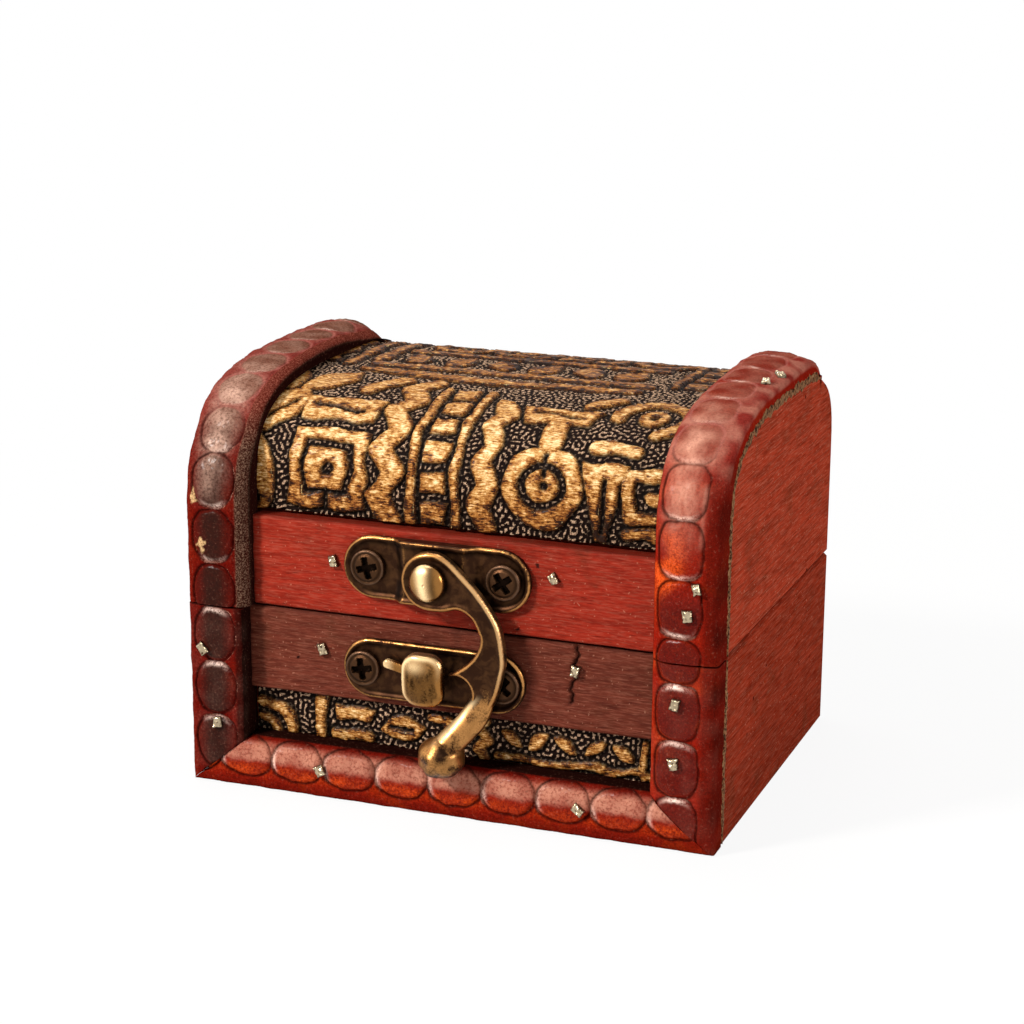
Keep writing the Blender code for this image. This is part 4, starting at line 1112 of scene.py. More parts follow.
@dataclass
class CarvedTrim:
    """One carved moulding: a rounded section with a row of cushion-shaped pads cut into it.

    The section is given as shares of its width and height, and a height of -1 stands for the foot's.
    """

    name: str
    node: str
    body: str
    side: TrimSide
    groove_at: float
    pad_centre: float
    pad_half: float
    pad_power: float
    shape: BoxShape
    pitch: float = 8.7
    step: float = 0.18
    groove_depth: float = 0.40
    mitred: bool = False
    mitre_gap: float = 0.03
    inner: float = 32.3
    section_height: float = 5.3
    worn: float = 0.6
    foot: float = 0.50
    chips: Sequence[tuple[float, float, float, float]] = ()
    section: Sequence[Spot] = (
        (0.0, 0.0), (0.0, -1.0), (0.005, 0.62), (0.03, 0.745), (0.07, 0.835), (0.13, 0.905), (0.22, 0.95),
        (0.35, 0.985), (0.50, 1.0), (0.63, 0.99), (0.74, 0.972), (0.84, 0.955), (0.90, 0.925), (0.95, 0.87),
        (0.985, 0.79), (1.0, 0.68), (1.0, 0.34), (1.0, 0.0),
    )

    @property
    def width(self) -> float:
        """The trim's width."""
        return self.shape.bottom_height if self.side is TrimSide.BOTTOM else self.shape.side - self.inner

    def is_part(self, side: TrimSide, body: str) -> bool:
        """Return whether this is the trim of a side and a body."""
        return self.side is side and self.body == body

    def lines(self) -> tuple[Array, Array, Array]:
        """Return the lines that the trim follows.

        Returns:
            The seat's points, the crest's points and how far along each one is, with x left at zero for the upright
            trims.
        """
        box = self.shape
        if self.side is TrimSide.BOTTOM:
            places = np.linspace(0, 2 * box.side, int(2 * box.side / self.step) + 1)
            seats, crests = (np.stack([places - box.side, np.full_like(places, y), np.full_like(places, self.width)], 1)
                             for y in (box.trim_seat, box.front))
            return seats, crests, places
        if self.body == "base":
            heights = np.linspace(box.base_top, 0, int(box.base_top / self.step) + 1)
            places = box.base_top - heights
            seat, crest = (np.stack([np.full_like(heights, y), heights], 1) for y in (box.trim_seat, box.front))
        else:
            crest, places = resample(np.concatenate([[[box.front, box.lid_bottom]], box.trim_arch()]), self.step)
            inner = np.concatenate([
                np.stack([np.full(400, box.trim_seat), np.linspace(box.lid_bottom, box.end_spring, 400)], 1),
                box.end_arch(-0.3),
            ])
            gaps = ((crest[:, None, :] - inner[None, :, :]) ** 2).sum(axis=2)
            seat = inner[np.argmin(gaps, axis=1)]
            straight = crest[:, 1] < box.trim_spring
            seat[straight, 0] = box.trim_seat
            seat[straight, 1] = crest[straight, 1]
        zero = np.zeros((len(places), 1))
        return np.concatenate([zero, seat], 1), np.concatenate([zero, crest], 1), places

    def profile(self) -> Array:
        """Return the section at an even spacing.

        Returns:
            The section's (over, height) points, as shares.
        """
        shares = np.array([(over, self.foot if height < 0 else height) for over, height in self.section])
        early = (shares[:, 0] < 0.2) & (shares[:, 1] > 0.5)
        shares[early, 1] = 1 - (1 - shares[early, 1]) * (1 - self.foot) / 0.5
        size = (self.width, self.section_height)
        return resample(shares * size, self.step)[0] / size

    def find(self, places: Array) -> Places:
        """Return the places of the trim's grid of points.

        Args:
            places: how far along each row is.

        Returns:
            The places, rows by columns.
        """
        section = self.profile()
        along, over = np.meshgrid(places, section[:, 0], indexing="ij")
        height = np.repeat(section[None, :, 1], len(places), axis=0)
        across = over * self.width
        centre = self.groove_at + (np.floor((along - self.groove_at) / self.pitch) + 0.5) * self.pitch
        rate = (along - centre) / (self.pitch / 2 - 0.05)
        aside = (across - self.pad_centre) / self.pad_half
        radius = (np.abs(rate) ** self.pad_power + np.abs(aside) ** self.pad_power) ** (1 / self.pad_power)
        wobble = 0.05 * WANDER.at(along, across + 40 * self.side.value + len(self.body), 3.0)
        return Places(along, across, over, height, (1 - radius) * self.pad_half + wobble, rate, aside)

    def depth(self, at: Places) -> Array:
        """Return how deep the carving is.

        Args:
            at: the places.

        Returns:
            The depth under the plain section, in millimetres.
        """
        bed = 0.20 * smooth(0.0, -0.7, at.inside) * smooth(-2.6, -1.0, at.inside)
        dome = 0.10 * smooth(1.8, 0.2, at.inside) * (at.inside > 0)
        lined = 0.16 * bell(at.across - 1.95, 0.22) * self.is_part(TrimSide.LEFT, "lid")
        cut = (self.groove_depth * bell(at.inside, 0.30) + bed) * (1 - 0.75 * self.aged(at)) + dome + lined
        dent = 0.05 * WANDER.at(at.along, at.across, 4.5) + 0.02 * SPECKLE.at(at.along, at.across, 1.1)
        return (cut + dent) * smooth(0.45, 0.75, at.height) + self.fall(at) * smooth(0.0, 0.6, at.height)

    def fall(self, at: Places) -> Array:
        """Return how far the lid trims' crest drops: flatter at the left shoulder, and rounded off at the back.

        Args:
            at: the places.

        Returns:
            The drop in millimetres.
        """
        if self.body == "base":
            return np.zeros_like(at.along)
        left = float(at.along.max()) - at.along
        drop = 0.6 * round_edge(left, 8.0)
        if self.side is TrimSide.LEFT:
            return drop + 1.0 * bell(at.along - 27.5, 5.5) + 1.5 * smooth(0.5, 0.0, at.over) * smooth(24.0, 6.0, left)
        return drop - 0.4 * smooth(30.0, 12.0, left) + 0.6 * smooth(0.35, 1.0, at.over) * smooth(40.0, 16.0, left)

    def build(self) -> Piece:
        """Build the trim's mesh, with its values.

        Returns:
            The trim as an object.
        """
        seats, crests, rows = self.lines()
        at = self.find(rows)
        reach = crests - seats
        lifted = at.height - self.depth(at) / np.linalg.norm(reach, axis=1)[:, None]
        grid = seats[:, None, :] + reach[:, None, :] * lifted[:, :, None]
        if self.side is TrimSide.BOTTOM:
            grid[:, :, 2] -= at.across
        else:
            grid[:, :, 0] = self.side.value * (self.inner + at.across)
        if self.mitred:
            self.cut_mitre(grid)
        values = self.values(at)
        maker = MeshMaker(self.name)
        flip = self.side is not TrimSide.RIGHT
        maker.add_grid(grid, values, flip=flip)
        for row in (0, -1):
            self.close_end(maker, grid[row], values, row, flip)
        return maker.build(60.0)

    def values(self, at: Places) -> Values:
        """Return every value that the lacquer reads.

        Args:
            at: the places.

        Returns:
            The values by name.
        """
        face = smooth(0.45, 0.75, at.height)
        aged = self.aged(at)
        dust = bell(at.inside, 0.4) * 0.6 + smooth(-0.55, -1.0, at.rate) * 0.4
        outer = smooth(0.70, 0.84, at.over) * (self.side is TrimSide.RIGHT) * (1 - 0.6 * aged)
        return {
            "pad": self.pad(at) * face,
            "aged": aged * face,
            "outer": outer,
            "mark": self.mark(at) * face * (1 - 0.6 * aged),
            "rim": smooth(2.0, 1.6, at.across) * self.is_part(TrimSide.LEFT, "lid") * face,
            # Painted shade in the grooves, weaker on the aged top.
            "groove": bell(at.inside + 0.04, 0.20) * face * (1 - 0.3 * aged),
            "lip": np.clip(self.lip(at), 0, 1) * face,
            "dust": np.clip(dust, 0, 1) * face,
            "sheen": self.sheen(at) * face,
            "dirt": self.dirt(at),
            "chip": self.chip(at) * face,
            "ember": self.ember(at) * face,
        }

    def lip(self, at: Places) -> Array:
        """Return where the pads' edges are worn: toward the outside, and inward on the left trims.

        Args:
            at: the places.

        Returns:
            How worn they are, from 0 to over 1.
        """
        toward = -at.aside if self.side is TrimSide.BOTTOM else self.side.value * at.aside - 0.5 * at.rate
        lip = self.worn * bell(at.inside - 0.02, 0.13) * smooth(0.1, 0.8, toward)
        if self.side is TrimSide.LEFT:
            lip = lip + 0.8 * bell(at.inside + 0.22, 0.16) * smooth(0.15, 0.6, -at.aside) * (1 - self.aged(at))
        return lip

    def mark(self, at: Places) -> Array:
        """Return where pale scuffs lie at the pads' feet."""
        mark = bell(at.inside - 0.34, 0.24) * smooth(-0.55, -0.92, at.rate) * bell(at.aside + 0.1, 0.62)
        return mark * (0.75 + 0.25 * WANDER.at(at.along * 0.6 + 30, at.across, 4.0))

    def dirt(self, at: Places) -> Array:
        """Return where the trim is darkened: painted shade along its inner foot and wall, and darker toward some edges.

        Args:
            at: the places.

        Returns:
            How dark they are, from 0 to over 1.
        """
        # Painted shade on the inner wall and foot, where the trim meets the leather.
        dirt = smooth(0.72, 0.58, at.height) * (at.over < 0.5) * 1.2
        if self.side is TrimSide.BOTTOM:
            # Darker toward the bottom trim's lower edge.
            dirt = dirt + 0.30 * smooth(6.2, 7.2, at.across) + 0.5 * smooth(7.9, 8.5, at.across)
            # Painted shade along the bottom trim's top edge, next to the leather.
            dirt = dirt + 0.4 * bell(at.across - 0.2, 0.6)
        if self.side is TrimSide.RIGHT:
            # Darker toward the right trims' outer edge, less so on the arch's aged top.
            murky = (0.6 + 0.4 * WANDER.at(at.along * 0.5, at.across + 40, 4.0)) * (1 - 0.9 * self.aged(at))
            dirt = dirt + (0.15 * smooth(0.72, 0.86, at.over) + 0.45 * smooth(0.86, 0.98, at.over)) * murky
        if self.is_part(TrimSide.LEFT, "base"):
            # Painted shade on the left base trim's inner side, which faces away from the light.
            dirt = dirt + 0.9 * (at.over < 0.002) + 0.9 * smooth(1.7, 0.8, at.across)
        return dirt

    def chip(self, at: Places) -> Array:
        """Return where the lacquer is chipped to the wood.

        Args:
            at: the places.

        Returns:
            1 in a chip and 0 outside.
        """
        chip = np.zeros_like(at.across)
        for along, across, length, width in self.chips:
            ragged = 0.22 * WANDER.at(at.along, at.across, 1.3)
            reach = np.hypot((at.along - along) / length, (at.across - across) / width) + ragged
            chip = np.maximum(chip, smooth(1.05, 0.75, reach))
        return chip

    def sheen(self, at: Places) -> Array:
        """Return the painted sheen on the pads' upper halves and the arch's crown, with pale dust on the aged top.

        Args:
            at: the places.

        Returns:
            How pale they are, from 0 to 1.
        """
        patchy = np.clip(0.55 + 0.35 * WANDER.at(at.along, at.across + 9, 5.0), 0, 1)
        if self.side is TrimSide.BOTTOM:
            # Painted sheen on the upper half of the bottom trim's pads.
            edge = at.across + 0.08 * WANDER.at(at.along, at.across, 3.2)
            return smooth(4.2, 3.0, edge) * smooth(0.3, 1.6, at.across) * (0.42 + 0.32 * patchy)
        if self.body == "base":
            return 0.03 * patchy
        # Painted sheen on the arch's crown, down the pads' middles and brighter on their upper halves.
        crown = smooth(14.0, 24.0, at.along) * smooth(50.0, 32.0, at.along)
        spine = bell(at.across - self.pad_centre + 0.4 * self.side.value, 2.3)
        upper = 0.65 + 0.35 * smooth(0.9, -0.7, at.rate)
        share = 0.8 if self.side is TrimSide.LEFT else 0.85
        streak = 1 + 0.12 * SPECKLE.at(at.along * 0.3, at.across, 1.1)
        pale = share * crown * spine * upper * streak * (0.55 + 0.45 * patchy)
        if self.side is TrimSide.RIGHT:
            # A painted highlight streak on the right trims' outer band.
            pale = pale + 0.4 * bell(at.across - 7.3, 0.35) * bell(at.along - 24.0, 7.0) * patchy
            # Pale dust on the right lid trim's aged top.
            pale = pale + 0.32 * self.aged(at) * patchy * (1 - 0.5 * smooth(0.0, 0.5, at.inside))
        else:
            # Pale dust on the left lid trim's aged top.
            dusty = (0.10 + 0.18 * patchy) * (0.5 + 0.5 * smooth(0.0, 0.4, at.inside))
            pale = pale + self.aged(at) * dusty * smooth(1.6, 2.4, at.across)
        return np.clip(pale, 0, 1)

    def pad(self, at: Places) -> Array:
        """Return how dark the glaze lies on the pads: in a band down the left ones, and low on the right ones.

        Args:
            at: the places.

        Returns:
            The glaze's thickness, 1 where it is plain.
        """
        pad = smooth(0.0, 0.5, at.inside)
        if self.side is TrimSide.LEFT:
            return pad * (0.4 + 0.6 * np.maximum(smooth(0.9, 0.2, np.abs(at.aside + 0.02)), self.aged(at)))
        if self.side is TrimSide.RIGHT:
            return pad * (1.7 if self.body == "base" else 0.4 + 1.3 * smooth(12.0, 7.0, at.along))
        return pad * 0.8

    def aged(self, at: Places) -> Array:
        """Return where the lid's trims have dulled to brown, toward the top of the arch."""
        return smooth(24.0, 36.0, at.along) * (self.body == "lid")

    def ember(self, at: Places) -> Array:
        """Return where the lacquer glows orange: low on the bottom trim, and inward on the right ones.

        Args:
            at: the places.

        Returns:
            The glow, from 0 to over 1.
        """
        if self.side is TrimSide.BOTTOM:
            patch = smooth(-0.8, 1.2, WANDER.at(at.along, at.across + 20, 6.0))
            pads = 0.28 + 0.72 * smooth(-0.05, 0.35, at.inside)
            return 1.25 * bell(at.across - 5.4, 1.1) * pads * (0.45 + 0.55 * patch)
        if self.side is TrimSide.RIGHT:
            warm = bell(at.across - 2.4, 2.2) * smooth(0.1, 0.8, 0.5 + 0.3 * WANDER.at(at.along, at.across, 9.0))
            return warm * (2.2 * bell(at.along - 15.0, 4.5) * (self.body == "lid") + 0.35)
        if self.body == "base":
            return 0.45 * smooth(7.8, 9.2, at.across) * smooth(12.0, 26.0, at.along)
        return 0.25 * smooth(8.0, 9.2, at.across) * smooth(26.0, 20.0, at.along)

    @staticmethod
    def close_end(maker: MeshMaker, line: Array, values: Values, row: int, flip: bool) -> None:
        """Close an end of the trim from its profile to its seat line.

        Args:
            maker: takes the end.
            line: the points of the trim's last row there.
            values: the trim's values.
            row: 0 for its first row, -1 for its last.
            flip: whether the trim's own faces are turned round.
        """
        share = np.linspace(0, 1, len(line))[:, None]
        seat = line[0] * (1 - share) + line[-1] * share
        ended = {key: np.stack([value[row], value[row]]) for key, value in values.items()}
        ended["pad"] = np.zeros((2, len(line)))
        ended["dirt"] = np.full((2, len(line)), 0.6)
        maker.add_grid(np.stack([line, seat]), ended, flip=flip if row == -1 else not flip)

    def cut_mitre(self, grid: Array) -> None:
        """Draw the trim's points back to the corner's diagonal, leaving the joint's gap.

        Args:
            grid: the trim's points, which are moved.
        """
        box = self.shape
        slope = box.bottom_height / box.trim_width
        x, z = grid[:, :, 0], grid[:, :, 2]
        if self.side is TrimSide.BOTTOM:
            limit = box.side - z / slope - self.mitre_gap
            grid[:, :, 0] = np.clip(x, -limit, limit)
        else:
            grid[:, :, 2] = np.maximum(z, (box.side - np.abs(x)) * slope + self.mitre_gap)


@dataclass
class Stroke:
    """A line of raised work through points, with one width."""

    points: Sequence[Spot]
    width: float

    def inside(self, u: Array, v: Array) -> Array:
        """Return the distance inside the stroke.

        Args:
            u: places across the leather.
            v: places up it.

        Returns:
            The distances.
        """
        gaps = [squared_gap(start, end, u, v) for start, end in zip(self.points, self.points[1:])]
        return self.width / 2 - np.sqrt(np.minimum.reduce(gaps))


@dataclass
class Leaf:
    """A pointed leaf, given by its middle, length, width, turn in degrees and bend."""

    centre: Spot
    length: float
    width: float
    turn: float = 0.0
    bend: float = 0.0

    def inside(self, u: Array, v: Array) -> Array:
        """Return the distance inside the leaf.

        Args:
            u: places across the leather.
            v: places up it.

        Returns:
            The distances.
        """
        along, across = turned_about(self.centre, math.radians(self.turn), u, v)
        across = across + self.bend * (along / self.length * 2) ** 2
        share = np.clip(np.abs(along) / (self.length / 2), 0, 1.5)
        return (self.width / 2) * (1 - share**2.2) - np.abs(across)


@dataclass
class Ring:
    """A ring or, with a width over its radius, a disc."""

    centre: Spot
    radius: float
    width: float

    def inside(self, u: Array, v: Array) -> Array:
        """Return the distance inside the ring."""
        return self.width / 2 - np.abs(np.hypot(u - self.centre[0], v - self.centre[1]) - self.radius)


@dataclass
class Block:
    """A block with four straight sides, whose top may be wider than its foot."""

    centre: Spot
    width: float
    height: float
    flare: float = 0.0
    turn: float = 0.0

    def inside(self, u: Array, v: Array) -> Array:
        """Return the distance inside the block.

        Args:
            u: places across the leather.
            v: places up it.

        Returns:
            The distances.
        """
        along, up = turned_about(self.centre, math.radians(self.turn), u, v)
        half = self.width / 2 + self.flare * up / self.height
        return np.minimum(half - np.abs(along), self.height / 2 - np.abs(up))


Motif = Stroke | Leaf | Ring | Block


class Pattern:
    """A layout of raised motifs on leather, in traditional geometric ornament."""

    def __init__(self) -> None:
        """Start with bare ground."""
        self.motifs: list[tuple[Motif, bool]] = []

    def raise_up(self, *shapes: Motif) -> None:
        """Add raised shapes."""
        self.motifs.extend((shape, True) for shape in shapes)

    def cut_away(self, *shapes: Motif) -> None:
        """Cut shapes out of what is already raised."""
        self.motifs.extend((shape, False) for shape in shapes)

    def nested_square(self, u: float, v: float, size: float) -> None:
        """Add a framed square with a small square and dot inside it.

        Args:
            u: its middle, across.
            v: its middle, up.
            size: its width.
        """
        self.raise_up(Block((u, v), size, size))
        self.cut_away(Block((u, v), size - 4.2, size - 4.2))
        self.raise_up(Block((u - 0.2, v - 0.3), size - 6.4, size - 6.4))
        self.cut_away(Ring((u - 0.2, v - 0.3), 0.0, 1.7), Stroke([(u, v - size / 2), (u, v - size / 2 + 2.6)], 1.0))

    def zigzag(self, u: float, low: float, high: float, reach: float, width: float, rise: float = 3.2) -> None:
        """Add an upright zigzag.

        Args:
            u: its middle, across.
            low: its foot.
            high: its top.
            reach: how far it swings to a side.
            width: the line's width.
            rise: the height from one bend to the next.
        """
        count = max(int(round((high - low) / rise)), 2)
        heights = np.linspace(low, high, count + 1)
        self.raise_up(Stroke([(u + reach * (-1) ** index, height) for index, height in enumerate(heights)], width))

    def ladder(self, u: float, low: float, high: float, width: float, rungs: int) -> None:
        """Add two uprights with blocks for rungs between them.

        Args:
            u: its middle, across.
            low: its foot.
            high: its top.
            width: from upright to upright.
            rungs: how many rungs it has.
        """
        self.raise_up(Stroke([(u - width / 2, low), (u - width / 2, high)], 1.5))
        self.raise_up(Stroke([(u + width / 2, low), (u + width / 2, high)], 1.5))
        for height in np.linspace(low + 1.6, high - 1.6, rungs):
            self.raise_up(Block((u, float(height)), width - 3.2, (high - low) / rungs - 1.2, 0.2))

    def fret(self, u: float, v: float, size: float, flip: int = 1) -> None:
        """Add a square spiral.

        Args:
            u: its middle, across.
            v: its middle, up.
            size: its width.
            flip: -1 to mirror it.
        """
        half = size / 2
        path = [(-half, -half), (half, -half), (half, half), (-half, half), (-half, -half + 2.6)]
        path += [(half - 3.0, -half + 2.6), (half - 3.0, half - 3.0), (-half + 3.4, half - 3.0)]
        self.raise_up(Stroke([(u + flip * a, v + b) for a, b in path], 2.0))

    def rosette(self, u: float, v: float, radius: float) -> None:
        """Add a disc in a ring, with a cut round its middle."""
        self.raise_up(Ring((u, v), radius, 2.5), Ring((u, v), 0.0, 2 * radius - 5.0))
        self.cut_away(Ring((u, v), 0.0, 1.3), Stroke([(u, v + 1.6), (u, v + radius)], 0.8))

    def arcs(self, u: float, v: float, radii: Sequence[float], start: float, end: float, width: float = 1.4) -> None:
        """Add arcs about one centre, between two turns in degrees.

        Args:
            u: the centre, across.
            v: the centre, up.
            radii: the arcs' radii.
            start: the first turn.
            end: the last turn.
            width: the lines' width.
        """
        turns = np.radians(np.linspace(start, end, 13))
        for radius in radii:
            points = [(u + radius * math.cos(turn), v + radius * math.sin(turn)) for turn in turns]
            self.raise_up(Stroke(points, width))

    def distance(self, u: Array, v: Array) -> Array:
        """Return the distance inside the raised work, its edges wandering as hand tooling does.

        Args:
            u: places across the leather.
            v: places up it.

        Returns:
            The distances.
        """
        u = u + 0.18 * WANDER.at(u, v + 60, 7.0) + 0.04 * SPECKLE.at(u, v, 1.3)
        v = v + 0.18 * WANDER.at(u + 80, v, 7.0) + 0.04 * SPECKLE.at(u + 31, v, 1.3)
        total = np.full(u.shape, -9.0)
        for shape, raised in self.motifs:
            reach = shape.inside(u, v)
            total = np.maximum(total, reach) if raised else np.minimum(total, -reach)
        return total


def lid_pattern() -> Pattern:
    """Lay out the lid's leather, u across from the middle and v up from the rail, in millimetres.

    Returns:
        The pattern.
    """
    work = Pattern()
    work.raise_up(Leaf((-33.4, 5.6), 13.5, 7.4, 96, 0.8), Leaf((-31.2, 17.6), 13.0, 7.2, 62, -0.8))
    work.cut_away(Stroke([(-32.6, 1.0), (-33.2, 7.6)], 0.8), Stroke([(-32.0, 15.2), (-29.4, 19.6)], 0.7))
    work.raise_up(Leaf((-33.8, 27.6), 11.0, 5.6, 106, 0.6), Leaf((-26.6, 27.4), 11.5, 5.4, 54, -0.6))
    work.nested_square(-20.9, 7.6, 12.6)
    work.raise_up(Block((-21.2, 18.4), 12.6, 5.6, 0.8), Stroke([(-19.8, 25.0), (-15.4, 30.4)], 3.2))
    work.cut_away(Stroke([(-25.4, 18.9), (-17.6, 18.1)], 0.9))
    work.zigzag(-11.4, 0.4, 30.0, 1.25, 3.5, 3.7)
    work.ladder(-3.6, 0.5, 27.6, 7.0, 6)
    work.zigzag(4.4, 0.4, 24.0, 1.0, 2.9, 3.4)
    work.rosette(13.6, 8.0, 5.0)
    work.raise_up(Stroke([(13.6, 15.2), (13.6, 18.6)], 3.8), Block((13.0, 21.6), 11.5, 4.6, 1.8))
    work.cut_away(Stroke([(9.4, 22.2), (16.2, 21.4)], 0.8))
    work.raise_up(Block((22.9, 6.4), 4.4, 12.0, 2.8), Stroke([(20.8, 15.2), (27.0, 15.0)], 2.4))
    work.cut_away(Stroke([(22.9, 1.6), (23.2, 9.6)], 0.9))
    work.fret(31.4, 6.6, 8.8)
    work.arcs(27.0, 23.6, (5.4,), -70, 190, 2.5)
    work.raise_up(Ring((27.0, 23.6), 0.0, 4.6), Leaf((34.8, 16.4), 9.0, 4.6, 100, 0.6))
    work.cut_away(Ring((27.0, 23.6), 0.0, 1.3))
    work.raise_up(Leaf((35.0, 27.6), 9.0, 4.6, 84), Stroke([(20.0, 29.6), (16.4, 26.2)], 2.6))
    work.raise_up(Stroke([(-24.0, 35.4), (-2.0, 33.2), (20.0, 35.0)], 2.7), Stroke([(-24.4, 39.2), (21.0, 38.8)], 2.3))
    for index in range(6):
        work.raise_up(Leaf((-19.4 + 7.2 * index, 44.6), 7.6, 5.0, 66 if index % 2 else 114, 0.3))
    work.raise_up(Stroke([(-25.2, 42.0), (-25.2, 64.0)], 2.4), Stroke([(-28.9, 38.0), (-29.2, 68.0)], 2.0))
    work.zigzag(-33.6, 40.0, 70.0, 1.2, 2.9, 3.6)
    work.raise_up(Stroke([(-22.0, 50.4), (20.4, 50.4)], 2.2))
    work.rosette(-16.0, 58.4, 4.9)
    work.fret(-5.0, 58.4, 8.6, -1)
    work.nested_square(6.8, 58.4, 11.0)
    work.rosette(18.4, 58.2, 4.6)
    work.ladder(28.4, 40.0, 68.0, 7.0, 6)
    work.raise_up(Stroke([(34.8, 38.6), (34.6, 70.0)], 2.0), Stroke([(-22.0, 66.8), (21.0, 66.4)], 2.2))
    for index in range(8):
        work.raise_up(Leaf((-20.6 + 5.9 * index, 72.4), 7.4, 4.4, 90 + 16 * (-1) ** index, 0.3))
    work.raise_up(Stroke([(-33.0, 78.2), (33.0, 78.0)], 2.2))
    for index in range(11):
        work.raise_up(Block((-30.0 + 6.0 * index, 82.6), 4.6, 4.6, 0.6 * (-1) ** index))
    return work


def strip_pattern() -> Pattern:
    """Lay out the base's leather strip, u across from the middle and v up from its foot.

    Returns:
        The pattern.
    """
    work = Pattern()
    work.arcs(-31.9, -0.4, (2.4, 5.4), 6, 88, 1.8)
    work.raise_up(Stroke([(-22.0, 0.3), (-21.8, 6.6)], 1.9), Block((-16.4, 4.6), 6.0, 2.4, 0.6))
    work.raise_up(Stroke([(-19.4, 1.3), (-13.4, 1.2)], 1.5), Leaf((-8.2, 3.4), 7.6, 3.6, 8, 0.2))
    work.cut_away(Stroke([(-10.2, 3.2), (-6.6, 3.6)], 0.6))
    work.raise_up(Stroke([(-3.4, 5.6), (1.6, 5.4)], 1.5), Stroke([(-0.9, 0.6), (-0.8, 5.4)], 2.0))
    work.zigzag(4.8, 0.2, 6.6, 0.7, 1.5, 1.7)
    for index in range(5):
        work.raise_up(Leaf((9.6 + 4.4 * index, 4.3), 4.2, 2.0, 40 if index % 2 else -32, 0.2))
    work.raise_up(Stroke([(7.4, 1.2), (31.6, 1.2)], 1.2), Stroke([(30.4, 0.8), (30.6, 6.4)], 1.3))
    return work


@dataclass
class LeatherWork:
    """The tooled leather of the lid and of the strip under the base rail."""

    shape: BoxShape
    effects: SharedEffects
    pitch: float = 0.255
    raised: float = 0.50
    pebbles: float = 0.26
    spread: float = 0.10
    half_width: float = 36.15
    skirt_foot: float = 43.85
    strip_pitch: float = 0.2
    strip_left: float = -33.05
    strip_right: float = 32.25

    def relief(self, pattern: Pattern, u: Array, v: Array) -> tuple[Array, Values]:
        """Return the height of tooled leather over its ground, with its named values.

        Args:
            pattern: the raised work.
            u: places across the leather.
            v: places up it.

        Returns:
            The heights, and the values by name.
        """
        inside = pattern.distance(u, v) + self.spread
        gold = smooth(-0.05, 0.22, inside)
        ridge = smooth(-0.10, 0.85, RIDGES.at(u, v, 0.86) + 0.3 * SPECKLE.at(u, v, 0.8))
        outline = bell(inside + 0.16, 0.26) * (1 - 0.6 * gold)
        ground = self.pebbles * ridge * (1 - gold) * smooth(-0.2, -0.7, inside)
        scratch = 0.05 * SPECKLE.at(u * 0.25, v, 0.9) * gold
        height = self.raised * gold + ground + scratch - 0.06 * outline
        # Painted shade on the gilt near the raised work's edges.
        burn = smooth(0.8, 0.15, inside + 0.2 * WANDER.at(u, v + 9, 2.5)) * gold
        return height, {
            "gold": gold,
            "ridge": ridge * (1 - gold),
            "outline": np.clip(outline * 1.3, 0, 0.97),
            "lip": bell(inside - 0.28, 0.16) * 0.8,
            "burn": burn,
        }

    def sheet(self, name: str, path: Array, u_line: Array, pattern: Pattern, sunk: float, hidden: float,
              dull: Callable[[Array], Array]) -> Piece:
        """Build a sheet along a (y, z) path.

        Args:
            name: the piece's name.
            path: the sheet's outer line, from its front foot on.
            u_line: the places across it.
            pattern: its raised work.
            sunk: how far the ground lies under the path.
            hidden: how far the sheet's edges turn in.
            dull: gives the painted shade and highlight on the gilt at places along the path.

        Returns:
            The sheet as an object.
        """
        line, along = resample(path, self.pitch)
        normal = normals(line)
        v, u = np.meshgrid(along, u_line, indexing="ij")
        height, values = self.relief(pattern, u, v)
        height = height - sunk
        height[0, :] = height[-1, :] = -hidden
        height[:, 0] = height[:, -1] = -hidden
        grid = np.zeros((*u.shape, 3))
        grid[:, :, 0] = u
        grid[:, :, 1] = line[:, :1] + normal[:, :1] * height
        grid[:, :, 2] = line[:, 1:] + normal[:, 1:] * height
        values["dull"] = dull(v)
        maker = MeshMaker(name)
        maker.add_grid(grid, values)
        return maker.build(80.0)

    def build(self) -> None:
        """Build and dress both pieces of leather."""
        finish = TooledLeather("gilded tooled leather").material(self.effects)
        box = self.shape
        path = np.concatenate([[[box.board_front, self.skirt_foot]], box.end_arch()])
        count = int(2 * self.half_width / self.pitch)
        across = np.linspace(-self.half_width, self.half_width, count + 1)
        # Painted shade on the gilt near the rail, a painted highlight band about 14 mm up, and darker beyond 20 mm up.
        lid = self.sheet("lid_leather_tooled", path, across, lid_pattern(), 0.40, 1.05,
                         lambda v: smooth(20.0, 42.0, v) + 0.9 * smooth(8.0, 1.5, v) - 0.6 * bell(v - 14.0, 3.5))
        settle(lid, finish, "lid", "lid_leather")
        strip_path = np.array([[box.board_front - 0.6, 8.3], [box.board_front - 0.6, 15.6]])
        count = int((self.strip_right - self.strip_left) / self.strip_pitch)
        across = np.linspace(self.strip_left, self.strip_right, count + 1)
        strip = self.sheet("base_leather_tooled", strip_path, across, strip_pattern(), 0.35, 1.5, np.zeros_like)
        settle(strip, finish, "base", "base_front_leather")


def settle(piece: Piece, finish: Finish, body: str, *nodes: str) -> None:
    """Give a piece its finish, let it ride on a body and hide the solids it stands for.

    Args:
        piece: the piece.
        finish: its material.
        body: the body's name.
        nodes: the solids' names.
    """
    piece.data.materials.clear()
    piece.data.materials.append(finish)
    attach(piece, body)
    if nodes:
        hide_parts(*nodes)
    LOG.info("%s rides on %s, %d faces", piece.name, body, len(piece.data.polygons))


def dress(finish: Finish, *nodes: str) -> None:
    """Give solids that stay as they are their finish.

    Args:
        finish: the material.
        nodes: the solids' names.
    """
    for name in nodes:
        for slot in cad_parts[name].material_slots:
            slot.material = finish
        LOG.info("%s keeps its solid and gets %s", name, finish.name)


